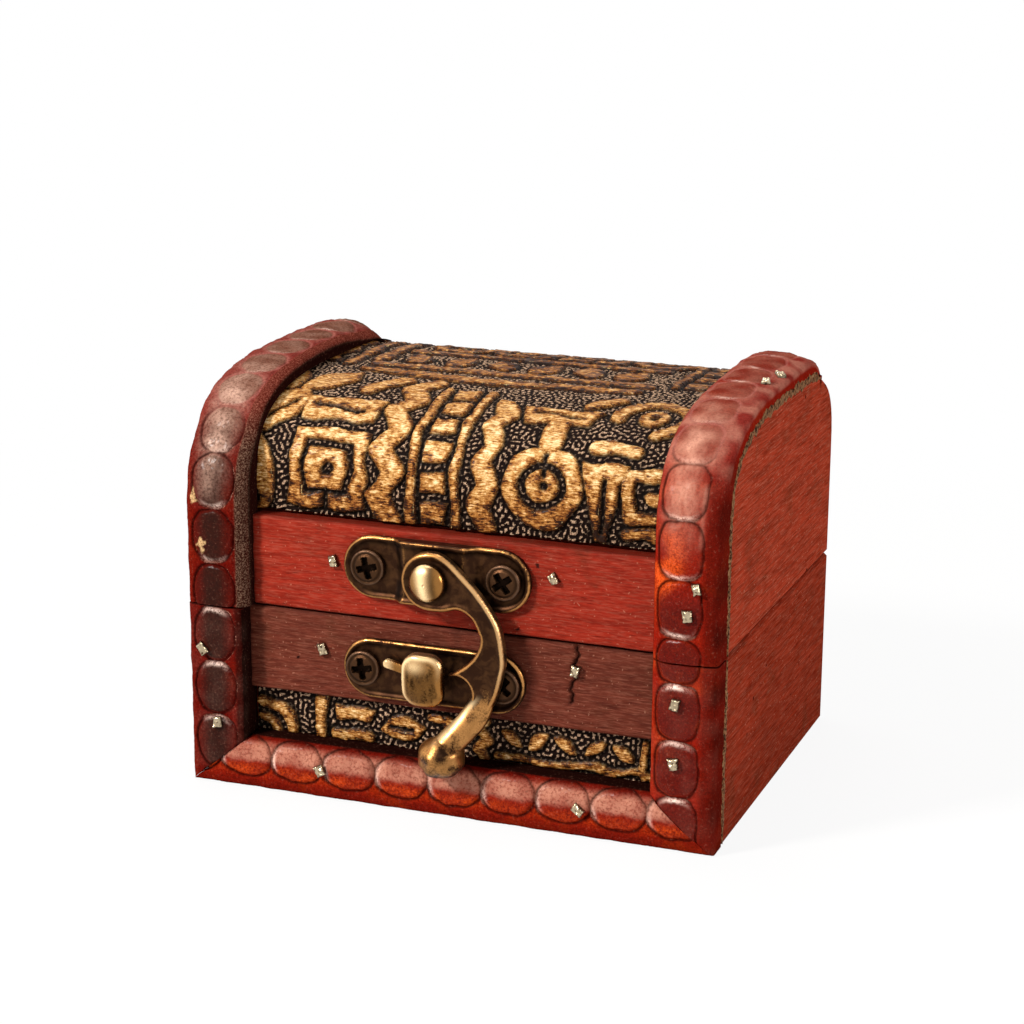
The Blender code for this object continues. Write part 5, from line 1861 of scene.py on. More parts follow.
@dataclass
class Trims:
    """The five carved trims."""

    shape: BoxShape
    effects: SharedEffects

    def build(self) -> None:
        """Build and dress every trim."""
        dark = Lacquer("burgundy lacquer", colour("640f08"), colour("86240f"), colour("2e130b"), glazed=0.95,
                       embers=0.4, lips=0.8, pale=colour("c09a88"))
        warm = Lacquer("red lacquer", colour("8e1b0d"), colour("e5561f"), colour("5a1109"), glazed=0.5, embers=0.25,
                       lips=0.5, pale=colour("cf9680"), crackle=0.45)
        bright = Lacquer("bright red lacquer", colour("84180c"), colour("d4480f"), colour("701409"), glazed=0.3,
                         embers=0.25, lips=0.8, pale=colour("cc9078"))
        left = dict(side=TrimSide.LEFT, pad_half=3.5, pad_power=2.15, shape=self.shape)
        right = dict(side=TrimSide.RIGHT, pad_centre=4.3, pad_half=3.35, pad_power=3.0, shape=self.shape)
        pieces = (
            (CarvedTrim("lid_trim_left_carved", "lid_trim_left", "lid", groove_at=6.6, pad_centre=5.45,
                        chips=((16.8, 8.7, 1.2, 0.5), (9.6, 7.3, 1.15, 0.75)), **left), dark),
            (CarvedTrim("lid_trim_right_carved", "lid_trim_right", "lid", groove_at=3.6, **right), warm),
            (CarvedTrim("base_trim_left_carved", "base_trim_left", "base", groove_at=0.0, mitred=True,
                        pad_centre=4.7, inner=33.1, foot=0.84, **left), dark),
            (CarvedTrim("base_trim_right_carved", "base_trim_right", "base", groove_at=2.9, mitred=True,
                        **right), warm),
            (CarvedTrim("bottom_trim_carved", "bottom_trim", "base", TrimSide.BOTTOM, groove_at=5.3, pad_centre=3.3,
                        pad_half=3.15, pad_power=2.25, shape=self.shape, mitred=True), bright),
        )
        for trim, lacquer in pieces:
            settle(trim.build(), lacquer.material(self.effects), trim.body, trim.node)


@dataclass
class Rails:
    """The two front rails: planed strips with gouges, one of them cracked."""

    effects: SharedEffects
    right_end: float = 32.28
    face: float = -29.1
    back: float = -26.1
    edge: float = 0.45
    cell: float = 0.24
    crack_middle: float = 24.3
    crack_half: float = 4.4

    def crack_gap(self, x: Array, z: Array) -> Array:
        """Return the distance from the base rail's crack, a wandering line that ends in the wood.

        Args:
            x: places across the box.
            z: their heights.

        Returns:
            The distances.
        """
        share = np.clip((z - 19.6) / 9.3, 0, 1)
        line = 19.3 + 1.1 * share + 0.25 * np.sin(z * 1.9) + 0.12 * np.sin(z * 5.1)
        return np.hypot(x - line, np.maximum(np.abs(z - self.crack_middle) - self.crack_half, 0))

    def rail(self, name: str, low: float, high: float, left_end: float, crack: bool) -> Piece:
        """Build a rail between two heights, with its crack if it has one.

        Args:
            name: the rail's name.
            low: its lower edge.
            high: its upper edge.
            left_end: the x of its left end.
            crack: whether it is cracked.

        Returns:
            The rail as an object.
        """
        middle = (low + high) / 2

        def outline(x: Array, z: Array) -> Array:
            """Return the distance inside the rail's rectangle."""
            ends = np.minimum(x - left_end, self.right_end - x)
            return np.minimum(ends, (high - low) / 2 - np.abs(z - middle))

        def surface(x: Array, z: Array, depth: Array) -> tuple[Array, Values]:
            """Return the planed face, with gouges, waves and the crack, and painted shade along its edges and round the
            hasp.

            Args:
                x: places across the box.
                z: their heights.
                depth: the distance inside the outline.

            Returns:
                The face's y, and its values.
            """
            edge = np.minimum((high - low) / 2 - np.abs(z - middle), depth + self.edge)
            y = self.face + round_edge(edge, self.edge) + 0.05 * WANDER.at(x * 0.25, z, 4.0)
            y = y + 0.02 * SPECKLE.at(x * 0.2, z, 1.2)
            # Painted shade along the rail's edges and round the hasp's plates.
            dirt = np.maximum(bell(depth, 0.22) * 0.5, 0.3 * bell(x - 5.0, 11.0) * (0.7 + 0.3 * WANDER.at(x, z, 3.0)))
            if crack:
                gap = self.crack_gap(x, z)
                y = y + 0.55 * bell(gap, 0.28)
                dirt = np.maximum(dirt, bell(gap, 0.30))
            return y, {"dirt": dirt, "lip": bell(depth - 0.35, 0.25) * 0.5 * (z > middle)}

        maker = MeshMaker(name)
        stamp(maker, outline, (left_end, low), (self.right_end, high), self.cell, surface, self.back)
        return maker.build(60.0)

    def build(self) -> None:
        """Build and dress both rails."""
        upper = StainedWood("lid rail stain", colour("922616"), colour("6a190e"), (0.10, 1.0, 1.0), 0.5, 0.2, 0.05)
        lower = StainedWood("base rail stain", colour("632c1f"), colour("42190f"), (0.10, 1.0, 1.0), 0.52, 0.2, 0.05)
        settle(self.rail("lid_front_rail_planed", 29.25, 43.5, -32.28, False), upper.material(self.effects), "lid",
               "lid_front_rail")
        settle(self.rail("base_front_rail_planed", 15.7, 28.95, -33.08, True), lower.material(self.effects), "base",
               "base_front_rail")


@dataclass
class Carcass:
    """The plain boards, which keep their solids, and the rough line of glue along the end boards."""

    shape: BoxShape
    effects: SharedEffects
    glue_short: float = 1.6

    def glue_line(self, name: str, path: Array, side: int) -> Piece:
        """Build the crumbly dark bead between a trim and its end board, along a (y, z) path.

        Args:
            name: the bead's name.
            path: its line.
            side: -1 for the left, 1 for the right.

        Returns:
            The bead as an object.
        """
        line, along = resample(path, 0.3)
        normal = normals(line)
        turns = np.linspace(0, math.pi, 7)
        size = 0.74 + 0.16 * WANDER.at(along, side * 9, 2.2) + 0.12 * SPECKLE.at(along, 0, 0.9)
        taper = smooth(0.0, 4.0, np.minimum(along, along[-1] - along))
        size = (np.clip(size, 0.35, 1.1) * (0.2 + 0.8 * taper))[:, None]
        offset = (0.12 * WANDER.at(along, 50 + side, 5.0))[:, None]
        over = np.cos(turns)[None, :] * size + offset - 0.15
        out = np.sin(turns)[None, :] * 0.16
        grid = np.zeros((len(line), len(turns), 3))
        grid[:, :, 0] = side * (self.shape.side - 0.05 + out)
        grid[:, :, 1] = line[:, :1] + normal[:, :1] * over
        grid[:, :, 2] = line[:, 1:] + normal[:, 1:] * over
        crumb = smooth(0.2, 1.2, SPECKLE.at(along[:, None], turns[None, :], 0.9))
        maker = MeshMaker(name)
        maker.add_grid(grid, {"crumb": crumb}, flip=side > 0)
        return maker.build(80.0)

    def glue_finish(self) -> Finish:
        """Return the dark glue with its pale crumbs.

        Returns:
            The material.
        """
        made = Surface("old glue and crumbs", colour("140804"))
        speck = made.nodes.effect(self.effects.grime, Scale=0.24, Cover=0.5)["Mottle"]
        made.layer(colour("7c5236"), made.nodes.step(speck, 0.42, 0.58))
        made.layer(colour("a37c58"), made.nodes.attribute("crumb"), 0.65)
        made.set(Roughness=0.8, Specular_IOR_Level=0.02)
        return made.bump(1.0, (speck, 0.3))

    def build(self) -> None:
        """Dress the boards and lining, and build the glue lines."""
        side = StainedWood("brick red board", colour("8c2d19"), colour("54190d"), (1.0, 0.05, 1.3), 0.62, 0.28, 0.0,
                           1.9, streaks=0.7, murk=colour("38200f"))
        end = StainedWood("brick red lid end", colour("9c3520"), colour("5e1c0e"), (1.0, 0.05, 1.3), 0.62, 0.34, 0.0,
                          1.9, streaks=0.7)
        flat = StainedWood("brick red cross board", colour("8c301c"), colour("6e2412"), (0.10, 1.0, 1.0), 0.64, 0.10)
        side_stain, flat_stain = side.material(self.effects), flat.material(self.effects)
        dress(side_stain, "base_left_board", "base_right_board")
        dress(end.material(self.effects), "lid_left_end", "lid_right_end")
        dress(flat_stain, "base_front_board", "base_back_board", "lid_front_board", "lid_back_board",
              "lid_top_panel", "bottom_board")
        dress(Felt("red felt").material(self.effects), "floor_lining")
        glue = self.glue_finish()
        box = self.shape
        arch = box.end_arch()
        arch = arch[arch[:, 0] < box.trim_stop - self.glue_short]
        for label, way in (("left", -1), ("right", 1)):
            lid_path = np.concatenate([[[box.board_front, box.lid_bottom + 0.1]], arch])
            settle(self.glue_line(f"lid_glue_{label}", lid_path, way), glue, "lid")
            base_path = np.array([[box.board_front, 0.3], [box.board_front, box.base_top - 0.1]])
            settle(self.glue_line(f"base_glue_{label}", base_path, way), glue, "base")


@dataclass
class Hasp:
    """The hook and its plate on the lid, and the post and its plate on the base."""

    effects: SharedEffects
    plate_back: float = -29.35
    plate_face: float = -30.2
    boss_rise: float = 1.2
    boss_half: float = 4.55
    boss_ramp: float = 1.9
    pivot: Spot = (-1.75, 37.2)
    hook_plate: Spot = (-1.75, 37.6)
    hook_plate_size: Spot = (30.0, 9.7)
    catch_plate: Spot = (-2.25, 21.6)
    catch_plate_size: Spot = (29.4, 9.3)
    post: Spot = (-2.45, 21.4)
    head: Spot = (-2.14, 22.25)
    head_half: Spot = (3.2, 4.1)
    head_corner: float = 2.3
    head_face: float = -35.9
    head_back: float = -33.45
    shaft_back: float = -30.5
    tail_face: float = -31.4
    tail_length: float = 7.7
    tail_width: float = 1.4
    tail_tilt: float = -13.0
    hook_back: float = -31.7
    hook_face: float = -33.2
    eye_radius: float = 4.4
    rivet_radius: float = 2.85
    rivet_height: float = 1.5
    rivet_seat: float = -33.5
    rivet_hole: float = 1.5
    drop: float = 27.0
    notch: Spot = (4.16, -16.79)
    notch_radius: float = 2.7
    ball: Point = (0.85, -34.25, 10.6)
    ball_radii: Point = (3.6, 3.35, 3.25)
    screw_radius: float = 2.75
    screw_height: float = 1.1
    screw_seat: float = -30.15
    arm: Sequence[Spot] = (
        (0.01, 0.135), (0.107, 0.126), (0.254, 0.004), (0.352, -0.115), (0.417, -0.231), (0.444, -0.400),
        (0.435, -0.481), (0.402, -0.610), (0.345, -0.722), (0.255, -0.830), (0.180, -0.920), (0.110, -0.985),
        (0.050, -0.960), (0.052, -0.890), (0.138, -0.833), (0.178, -0.780), (0.212, -0.715), (0.225, -0.620),
        (0.120, -0.530), (0.140, -0.510), (0.237, -0.435), (0.289, -0.361), (0.304, -0.296), (0.289, -0.248),
        (0.250, -0.180), (0.172, -0.141), (0.048, -0.155), (-0.10, -0.04),
    )

    def plate(self, name: str, centre: Spot, size: Spot, boss: bool) -> Piece:
        """Build a plate with a rolled rim and a dished face, raised in the middle if it has a boss.

        Args:
            name: the plate's name.
            centre: its middle, in x and z.
            size: its length and height.
            boss: whether it is raised in the middle.

        Returns:
            The plate as an object.
        """
        length, height = size

        def surface(x: Array, z: Array, depth: Array) -> tuple[Array, Values]:
            """Return the plate's front.

            Args:
                x: places across the box.
                z: their heights.
                depth: the distance inside the outline.

            Returns:
                The front's y, and where it is rubbed and dirty.
            """
            y = self.plate_face + round_edge(depth, 0.32) + 0.26 * smooth(0.45, 1.05, depth)
            worn = np.clip(0.85 + 0.22 * WANDER.at(x + 5, z, 9.0) + 0.06 * SPECKLE.at(x, z, 1.0), 0.45, 1)
            polish = bell(depth - 0.19, 0.20) * worn
            if boss:
                past = np.abs(x - centre[0]) - self.boss_half - 0.5 * ((z - centre[1]) / (height / 2)) ** 2
                y = y - self.boss_rise * smooth(self.boss_ramp, 0.0, past)
                polish = polish * (1 - 0.5 * bell(x - centre[0] - 1, 6.0) * smooth(centre[1], centre[1] + 3, z))
                polish = np.maximum(polish, 0.35 * bell(past, 0.4))
            return y + 0.02 * WANDER.at(x, z, 3.0), {"polish": polish, "dirt": bell(depth - 1.05, 0.35) * 0.6}

        maker = MeshMaker(name)
        low = (centre[0] - length / 2, centre[1] - height / 2)
        high = (centre[0] + length / 2, centre[1] + height / 2)
        stamp(maker, stadium_field(centre, length, height), low, high, 0.15, surface, self.plate_back)
        return maker.build(50.0)

    def arm_corners(self, steps: int = 8) -> Array:
        """Return the arm's outline in x and z, drawn smoothly through its marks.

        Args:
            steps: points from mark to mark.

        Returns:
            The corners, one in a row.
        """
        marks = np.array(self.arm) * self.drop
        before, after, later = (np.roll(marks, -shift, axis=0)[:, None, :] for shift in (-1, 1, 2))
        here = marks[:, None, :]
        share = (np.arange(steps) / steps)[None, :, None]
        bend = (after - before) * share
        bend = bend + (2 * before - 5 * here + 4 * after - later) * share**2
        bend = bend + (3 * here - before - 3 * after + later) * share**3
        return (here + bend / 2).reshape(-1, 2) + np.array(self.pivot)

    def hook(self) -> Piece:
        """Build the swing hook: eye, crescent arm with rubbed edges, and the ball at its end.

        Returns:
            The hook as an object.
        """
        corners = self.arm_corners()
        arm = polygon_field(corners)

        def outline(x: Array, z: Array) -> Array:
            """Return the distance inside the eye and arm, less the notch and the rivet's hole.

            Args:
                x: places across the box.
                z: their heights.

            Returns:
                The distances.
            """
            right, up = x - self.pivot[0], z - self.pivot[1]
            eye, reach = self.eye_radius - np.hypot(right, up), arm(x, z)
            plain = np.maximum(reach, eye)
            whole = np.where(plain > -1.2, plain + 0.25 * np.exp(-np.abs(reach - eye) / 0.6), plain)
            whole = np.minimum(whole, np.hypot(right - self.notch[0], up - self.notch[1]) - self.notch_radius)
            return np.minimum(whole, np.hypot(right, up) - self.rivet_hole)

        def surface(x: Array, z: Array, depth: Array) -> tuple[Array, Values]:
            """Return the arm's front, bevelled at its edges and dished between them.

            Args:
                x: places across the box.
                z: their heights.
                depth: the distance inside the outline.

            Returns:
                The front's y, where it is rubbed and dirty, and where a highlight is painted.
            """
            right, up = x - self.pivot[0], z - self.pivot[1]
            near_eye = smooth(self.eye_radius + 1.0, self.eye_radius - 0.6, np.hypot(right, up))
            dish = 0.16 * smooth(0.55, 1.2, depth) * smooth(12.0, 15.5, z)
            y = self.hook_face + round_edge(depth, 0.5) + dish
            y = y + 0.012 * WANDER.at(x, z, 2.5) + 0.05 * near_eye * bell(depth - 1.3, 0.3)
            low_end = smooth(1.6, -1.6, z - 19.6 - 0.35 * (x - 5.5))
            polish = np.maximum(bell(depth - 0.28, 0.30) * 0.95, low_end * (0.50 + 0.15 * WANDER.at(x, z, 2.6)))
            # A painted highlight along the arm's outer edge.
            glint = 0.34 * bell(depth - 0.28, 0.2) * smooth(7.6, 8.8, np.hypot(right - 2.5, up + 10.0))
            return y, {
                "polish": np.clip(polish, 0, 1),
                "dirt": bell(np.hypot(right, up) - 3.0, 0.5) * 0.5,
                "glint": glint * smooth(-1.0, 3.0, x) * smooth(20.0, 25.0, z),
            }

        maker = MeshMaker("swing_hook_worn")
        low = (min(corners[:, 0].min(), self.pivot[0] - self.eye_radius), corners[:, 1].min())
        high = (corners[:, 0].max(), self.pivot[1] + self.eye_radius)
        stamp(maker, outline, low, high, 0.14, surface, self.hook_back, two_faced=True)
        self.add_neck(maker)
        self.add_ball(maker)
        return maker.build(48.0)

    def add_neck(self, maker: MeshMaker) -> None:
        """Add the flared neck, which swells from the flat arm to the ball.

        Its marks are how far right of the pivot and how far up they are, two half sizes, and the middle's y.

        Args:
            maker: takes the neck.
        """
        marks = np.array([
            (9.0, -15.2, 1.3, 0.72, -32.4), (8.5, -17.6, 1.9, 0.80, -32.5), (7.3, -20.3, 2.15, 1.15, -32.85),
            (5.5, -22.5, 2.05, 1.7, -33.3), (3.75, -24.4, 2.15, 2.35, -33.8), (2.5, -26.4, 2.8, 3.0, -34.2),
        ])
        places = np.linspace(0, len(marks) - 1, 49)
        lines = np.stack([np.interp(places, range(len(marks)), column) for column in marks.T], axis=1)
        for _ in range(12):
            lines[1:-1] = (lines[:-2] + lines[1:-1] + lines[2:]) / 3
        aside = normals(lines[:, :2])
        right, up, half, reach, middle = lines.T[:, :, None]
        turns = np.linspace(0, 2 * math.pi, 52, endpoint=False)[None, :]
        half, reach = half * np.cos(turns), reach * np.sin(turns)
        half[0], reach[0] = half[0] * 0.02, reach[0] * 0.02
        grid = np.stack([
            self.pivot[0] + right - aside[:, :1] * half,
            middle - reach,
            self.pivot[1] + up - aside[:, 1:] * half,
        ], axis=2)
        maker.add_grid(grid, self.ball_values(grid), ring=True, flip=True)

    def add_ball(self, maker: MeshMaker) -> None:
        """Add the ball, a little flattened, with smudged polish.

        Args:
            maker: takes the ball.
        """
        turn, about = np.meshgrid(np.linspace(0, math.pi, 40), np.linspace(0, 2 * math.pi, 64, endpoint=False),
                                  indexing="ij")
        unit = np.stack([np.sin(turn) * np.cos(about), np.cos(turn), np.sin(turn) * np.sin(about)], axis=2)
        dent = 0.02 * WANDER.at(unit[:, :, 0] * 3 + 9, unit[:, :, 2] * 3, 2.4)
        grid = np.array(self.ball) + unit * np.array(self.ball_radii) * (1 + dent)[:, :, None]
        maker.add_grid(grid, self.ball_values(grid), ring=True, flip=True)

    @staticmethod
    def ball_values(grid: Array) -> Values:
        """Return the neck and ball's polish, smudges, painted shade, painted dark reflection and painted highlight.

        Args:
            grid: the points.

        Returns:
            The values by name.
        """
        x, y, z = np.moveaxis(grid, 2, 0)
        smear = smooth(0.0, 2.0, WANDER.at(x + 3, z, 3.6))
        rubbed = 0.15 + 0.5 * smooth(1.6, -1.6, z - 19.6 - 0.35 * (x - 5.5))
        # A painted dark reflection in the ball's face.
        dark_reflection = bell(np.hypot(x - 1.9, (z - 12.0) / 1.3), 1.0) * (y < -35)
        # Painted shade on the ball's lower and right sides.
        edge = 0.5 * smooth(10.4, 8.0, z) + 0.5 * smooth(3.0, 6.0, x - 0.6 * (z - 10.0))
        # A painted highlight band along the neck.
        ridge = 0.55 * bell((x - 3.2) * 0.76 - (z - 15.6) * 0.65 + 0.75, 0.42) * smooth(12.5, 14.5, z)
        return {"polish": np.clip(rubbed - 0.2 * smear - 0.5 * dark_reflection - 0.3 * edge, 0, 1),
                "dirt": 0.1 * smear + 0.65 * dark_reflection + 0.55 * edge, "glint": ridge * smooth(21.0, 18.0, z)}

    def rivet(self) -> Piece:
        """Build the rivet's domed head with the small dimple in its middle, and its shank.

        Returns:
            The rivet as an object.
        """
        maker = MeshMaker("hook_rivet_turned")
        radius, height = self.rivet_radius, self.rivet_height
        turns = np.linspace(0, math.pi / 2, 22)[1:-1]
        dome = [(0.05 + (height - 0.05) * math.sin(turn), radius * math.cos(turn)) for turn in turns]
        top = dome[-1][0]
        profile = [(-1.0, 1.2), (-0.02, 1.2), (0.0, 1.25), (0.0, radius - 0.06), (0.05, radius), *dome,
                   (top, 0.34), (top - 0.03, 0.28), (top - 0.14, 0.16), (top - 0.17, 0.0)]
        polish = [0.2, 0.2, 0.2, 0.5, 0.7] + [0.95] * len(dome) + [0.9, 0.6, 0.25, 0.2]
        turned(maker, profile, (self.pivot[0], self.rivet_seat, self.pivot[1]), 56, polish)
        across = (maker.points[0][:, 0] - self.pivot[0]) / radius
        up = (maker.points[0][:, 2] - self.pivot[1]) / radius
        slant = across + 0.16 * up
        # Painted highlight left of the middle; painted dark reflection to its right, and darker at the left rim.
        maker.values[0]["glint"] = bell(slant + 0.12, 0.30 + 0.06 * up)
        maker.values[0]["dirt"] = 0.65 * bell(slant - 0.42, 0.2) + 0.35 * smooth(-0.6, -1.0, across)
        return maker.build(60.0)

    def catch_post(self) -> Piece:
        """Build the catch post: collar and shaft, the broad head, and the tail bar on the plate.

        Returns:
            The post as an object.
        """
        maker = MeshMaker("catch_post_filed")
        profile = [(0.0, 1.8), (0.82, 1.8), (0.9, 1.7), (0.9, 0.86), (3.3, 0.86)]
        turned(maker, profile, (self.post[0], self.shaft_back, self.post[1]), 40, [0.4, 0.7, 0.7, 0.2, 0.3])
        half, corner = self.head_half, self.head_corner

        def head(x: Array, z: Array) -> Array:
            """Return the distance inside the head's round-cornered block.

            Args:
                x: places across the box.
                z: their heights.

            Returns:
                The distances.
            """
            side, end = half[0] - np.abs(x - self.head[0]), half[1] - np.abs(z - self.head[1])
            rounded = corner - np.hypot(np.maximum(corner - side, 0), np.maximum(corner - end, 0))
            return np.where((side < corner) & (end < corner), rounded, np.minimum(side, end))

        def head_surface(x: Array, z: Array, depth: Array) -> tuple[Array, Values]:
            """Return the head's front, softly crowned, with a rolled edge, a painted highlight and painted shade.

            Args:
                x: places across the box.
                z: their heights.
                depth: the distance inside the outline.

            Returns:
                The front's y, its polish and painted highlight, and its painted shade.
            """
            across, up = x - self.head[0], z - self.head[1]
            crown = ((across + 0.4) / half[0]) ** 2 + ((up - 0.6) / half[1]) ** 2
            y = self.head_face + round_edge(depth, 0.4) + 0.9 * np.clip(crown, 0, 1.5)
            # A painted highlight toward the upper left, on the rim and the crest; painted shade on the side walls and
            # low in the middle.
            left = smooth(0.9, -0.7, across / half[0] - up / half[1])
            rim = bell(depth - 0.38, 0.34)
            crest = bell(np.hypot((across + 0.9) / 1.5, up - 2.5), 0.9)
            polish = 0.46 + rim * (0.3 + 0.5 * left) + 0.4 * crest + 0.06 * WANDER.at(x * 2, z * 0.6, 2.0)
            shade = 0.7 * (depth <= 0) + 0.4 * smooth(0.6, 1.2, depth) * smooth(2.4, 1.0, up)
            return y, {"polish": np.clip(polish, 0, 1), "dirt": shade, "glint": 0.85 * rim * left + 0.6 * crest}

        low = (self.head[0] - half[0], self.head[1] - half[1])
        high = (self.head[0] + half[0], self.head[1] + half[1])
        stamp(maker, head, low, high, 0.12, head_surface, self.head_back, two_faced=True)
        x_post, z_post = self.post
        tilt = math.radians(self.tail_tilt)
        reach = self.tail_length / 2
        tail = stadium_field((x_post - reach * math.cos(tilt), z_post - reach * math.sin(tilt)), self.tail_length,
                             self.tail_width, tilt)

        def tail_surface(x: Array, z: Array, depth: Array) -> tuple[Array, Values]:
            """Return the tail's front.

            Args:
                x: places across the box.
                z: their heights.
                depth: the distance inside the outline.

            Returns:
                The front's y, and where it is rubbed, and where a highlight is painted.
            """
            polish = 0.55 + 0.4 * bell(depth - 0.2, 0.2)
            # A painted highlight at the tail's free end.
            glint = 0.8 * smooth(2.4, 0.4, x - x_post + self.tail_length)
            return self.tail_face + round_edge(depth, 0.35), {"polish": polish, "glint": glint}

        low, high = (x_post - 8.4, z_post - 1.0), (x_post + 0.6, z_post + 3.4)
        stamp(maker, tail, low, high, 0.1, tail_surface, self.shaft_back)
        return maker.build(55.0)

    @staticmethod
    def screw(name: str, centre: Spot, turn: float, radius: float, height: float, seat: float,
              outward: float = -1.0) -> Piece:
        """Build a pan-headed cross screw's head, turned in its hole by some radians.

        Args:
            name: the head's name.
            centre: its middle, in x and z.
            turn: how far it is turned.
            radius: its radius.
            height: how far it stands out.
            seat: the y of what it sits on.
            outward: -1 if it faces the front, 1 if it faces the back.

        Returns:
            The head as an object.
        """

        def surface(x: Array, z: Array, depth: Array) -> tuple[Array, Values]:
            """Return the head's front, with its cross and the ring about it.

            Args:
                x: places across the box.
                z: their heights.
                depth: the distance inside the outline.

            Returns:
                The front's y, and where it is rubbed and dirty.
            """
            along, across = (np.abs(reach) for reach in turned_about(centre, turn, x, z))
            arm, reach = 0.15 * radius, 0.58 * radius
            slot = np.maximum(*(
                smooth(arm + 0.12, arm - 0.06, aside) * smooth(reach + 0.14, reach - 0.1, ahead)
                for aside, ahead in ((along, across), (across, along))
            ))
            ring = depth - 0.22 * radius
            crown = 1 - np.clip(np.hypot(x - centre[0], z - centre[1]) / radius, 0, 1) ** 2
            lift = height * (0.62 + 0.38 * crown - 0.8 * slot - 0.16 * bell(ring, 0.07 * radius))
            polish = 0.6 * bell(depth - 0.07 * radius, 0.08 * radius) + 0.3 * bell(slot - 0.25, 0.2)
            return seat + outward * (lift - round_edge(depth, 0.18)), {
                "polish": polish, "dirt": np.maximum(slot, 0.6 * bell(ring, 0.08 * radius))}

        maker = MeshMaker(name)
        low, high = (centre[0] - radius, centre[1] - radius), (centre[0] + radius, centre[1] + radius)
        stamp(maker, stadium_field(centre, 2 * radius, 2 * radius), low, high, radius / 24, surface, seat, outward)
        return maker.build(40.0)

    def build(self) -> None:
        """Build and dress the hasp."""
        aged = Brass("antique brass", polish=0.02).material(self.effects)
        polished = Brass("polished brass", aged=colour("3a2410"), bright=colour("9c6c38"), polish=0.1,
                         rough=0.25).material(self.effects)
        steel = BlackSteel("blackened screw steel").material(self.effects)
        settle(self.plate("hook_plate_rimmed", self.hook_plate, self.hook_plate_size, True), aged, "lid", "hook_plate")
        settle(self.plate("catch_plate_rimmed", self.catch_plate, self.catch_plate_size, False), aged, "base",
               "catch_plate")
        settle(self.hook(), aged, "hook", "swing_hook")
        settle(self.rivet(), polished, "lid", "hook_rivet")
        settle(self.catch_post(), polished, "base", "catch_post")
        screws = (
            ("hook_screw_left", "lid", (-12.6, 37.6), 0.25),
            ("hook_screw_right", "lid", (9.1, 37.6), 0.62),
            ("catch_screw_left", "base", (-13.55, 21.6), 0.18),
            ("catch_screw_right", "base", (9.05, 21.6), 0.9),
        )
        for name, body, centre, turn in screws:
            head = self.screw(f"{name}_crossed", centre, turn, self.screw_radius, self.screw_height, self.screw_seat)
            settle(head, steel, body, name)


@dataclass
class Brads:
    """The bright square brads, each hammered a little askew."""

    effects: SharedEffects
    width: float = 1.3
    height: float = 1.75
    proud: float = 0.5
    sunk: float = 0.25
    reach: float = 1.4
    cell: float = 0.08

    def brad(self, name: str, x: float, z: float, seat: float, turn: float,
             lay: tuple[float, float, float] | None = None) -> Piece:
        """Build a brad's head as a beaten lump with a bright face.

        Args:
            name: the piece's name.
            x: its place across the box.
            z: its height.
            seat: the y of what it is driven into.
            turn: how far it is turned in its place, in radians.
            lay: for a brad on the arch, its y, its z and how far it leans back, in radians.

        Returns:
            The brad as an object.
        """
        half = (self.width / 2, self.height / 2)
        generator = np.random.default_rng(abs(hash((round(x * 10), round(z * 10)))) % 9973)
        skew = generator.normal(scale=0.09, size=(4, 2))
        corners = np.array([(-half[0], -half[1]), (half[0], -half[1]), (half[0], half[1]), (-half[0], half[1])]) + skew
        spin = np.array([[math.cos(turn), -math.sin(turn)], [math.sin(turn), math.cos(turn)]])
        outline = polygon_field(corners @ spin.T + (x, z))

        def surface(px: Array, pz: Array, depth: Array) -> tuple[Array, Values]:
            """Return the head's beaten front.

            Args:
                px: places across the box.
                pz: their heights.
                depth: the distance inside the outline.

            Returns:
                The front's y, and where it is rubbed and where painted shade lies round its edge.
            """
            y = seat - self.proud + round_edge(depth, 0.3) + 0.07 * WANDER.at(px * 2 + x, pz * 2, 1.9)
            shine = 0.72 + 0.2 * WANDER.at(px * 2, pz * 2 + x, 1.5)
            # Painted shade round the head's edge.
            return y, {"polish": np.clip(shine, 0, 1), "dirt": bell(depth, 0.1) * 0.6}

        maker = MeshMaker(name)
        low, high = (x - self.reach, z - self.reach), (x + self.reach, z + self.reach)
        stamp(maker, outline, low, high, self.cell, surface, seat + self.sunk)
        if lay:
            away, height, lean = lay
            rest = np.array([[1, 0, 0], [0, math.cos(lean), -math.sin(lean)], [0, math.sin(lean), math.cos(lean)]])
            maker.points = [(spots - (x, seat, z)) @ rest.T + (x, away, height) for spots in maker.points]
        return maker.build(50.0)

    def build(self) -> None:
        """Build and dress the brads."""
        shine = Brass("beaten brad", aged=colour("4a3a2c"), bright=colour("c0ae90"), polish=0.12,
                      rough=0.3).material(self.effects)
        heads = (
            ("base_rail_brad_1", -20.7, 23.4, -29.4, 0.3), ("base_rail_brad_2", 20.2, 24.9, -29.4, -0.2),
            ("lid_rail_brad_1", -18.8, 37.6, -29.4, 0.35), ("lid_rail_brad_2", 16.6, 38.8, -29.4, 0.5),
            ("base_left_brad_1", -39.6, 22.1, -32.6, 0.7), ("base_left_brad_2", -37.4, 10.5, -32.7, 0.2),
            ("base_right_brad_1", 36.4, 23.0, -32.7, -0.2), ("base_right_brad_2", 36.5, 14.0, -32.7, 0.1),
            ("bottom_brad_1", -20.0, 4.9, -32.7, 0.4), ("bottom_brad_2", 21.9, 4.65, -32.7, 0.9),
            ("lid_right_brad_1", 39.2, 40.6, -32.55, 0.2), ("lid_right_brad_2", 37.9, 36.6, -32.6, 0.3),
        )
        for name, x, z, seat, turn in heads:
            body = "lid" if name.startswith("lid") else "base"
            settle(self.brad(f"{name}_beaten", x, z, seat, turn), shine, body, name)
        for number, (x, y, z, lean) in enumerate(((40.3, -2.25, 64.55, -1.42), (40.9, 3.45, 64.6, -1.5)), 1):
            settle(self.brad(f"lid_arch_brad_{number}", x, 0.0, 0.0, 0.3 * number, (y, z, lean)), shine, "lid")


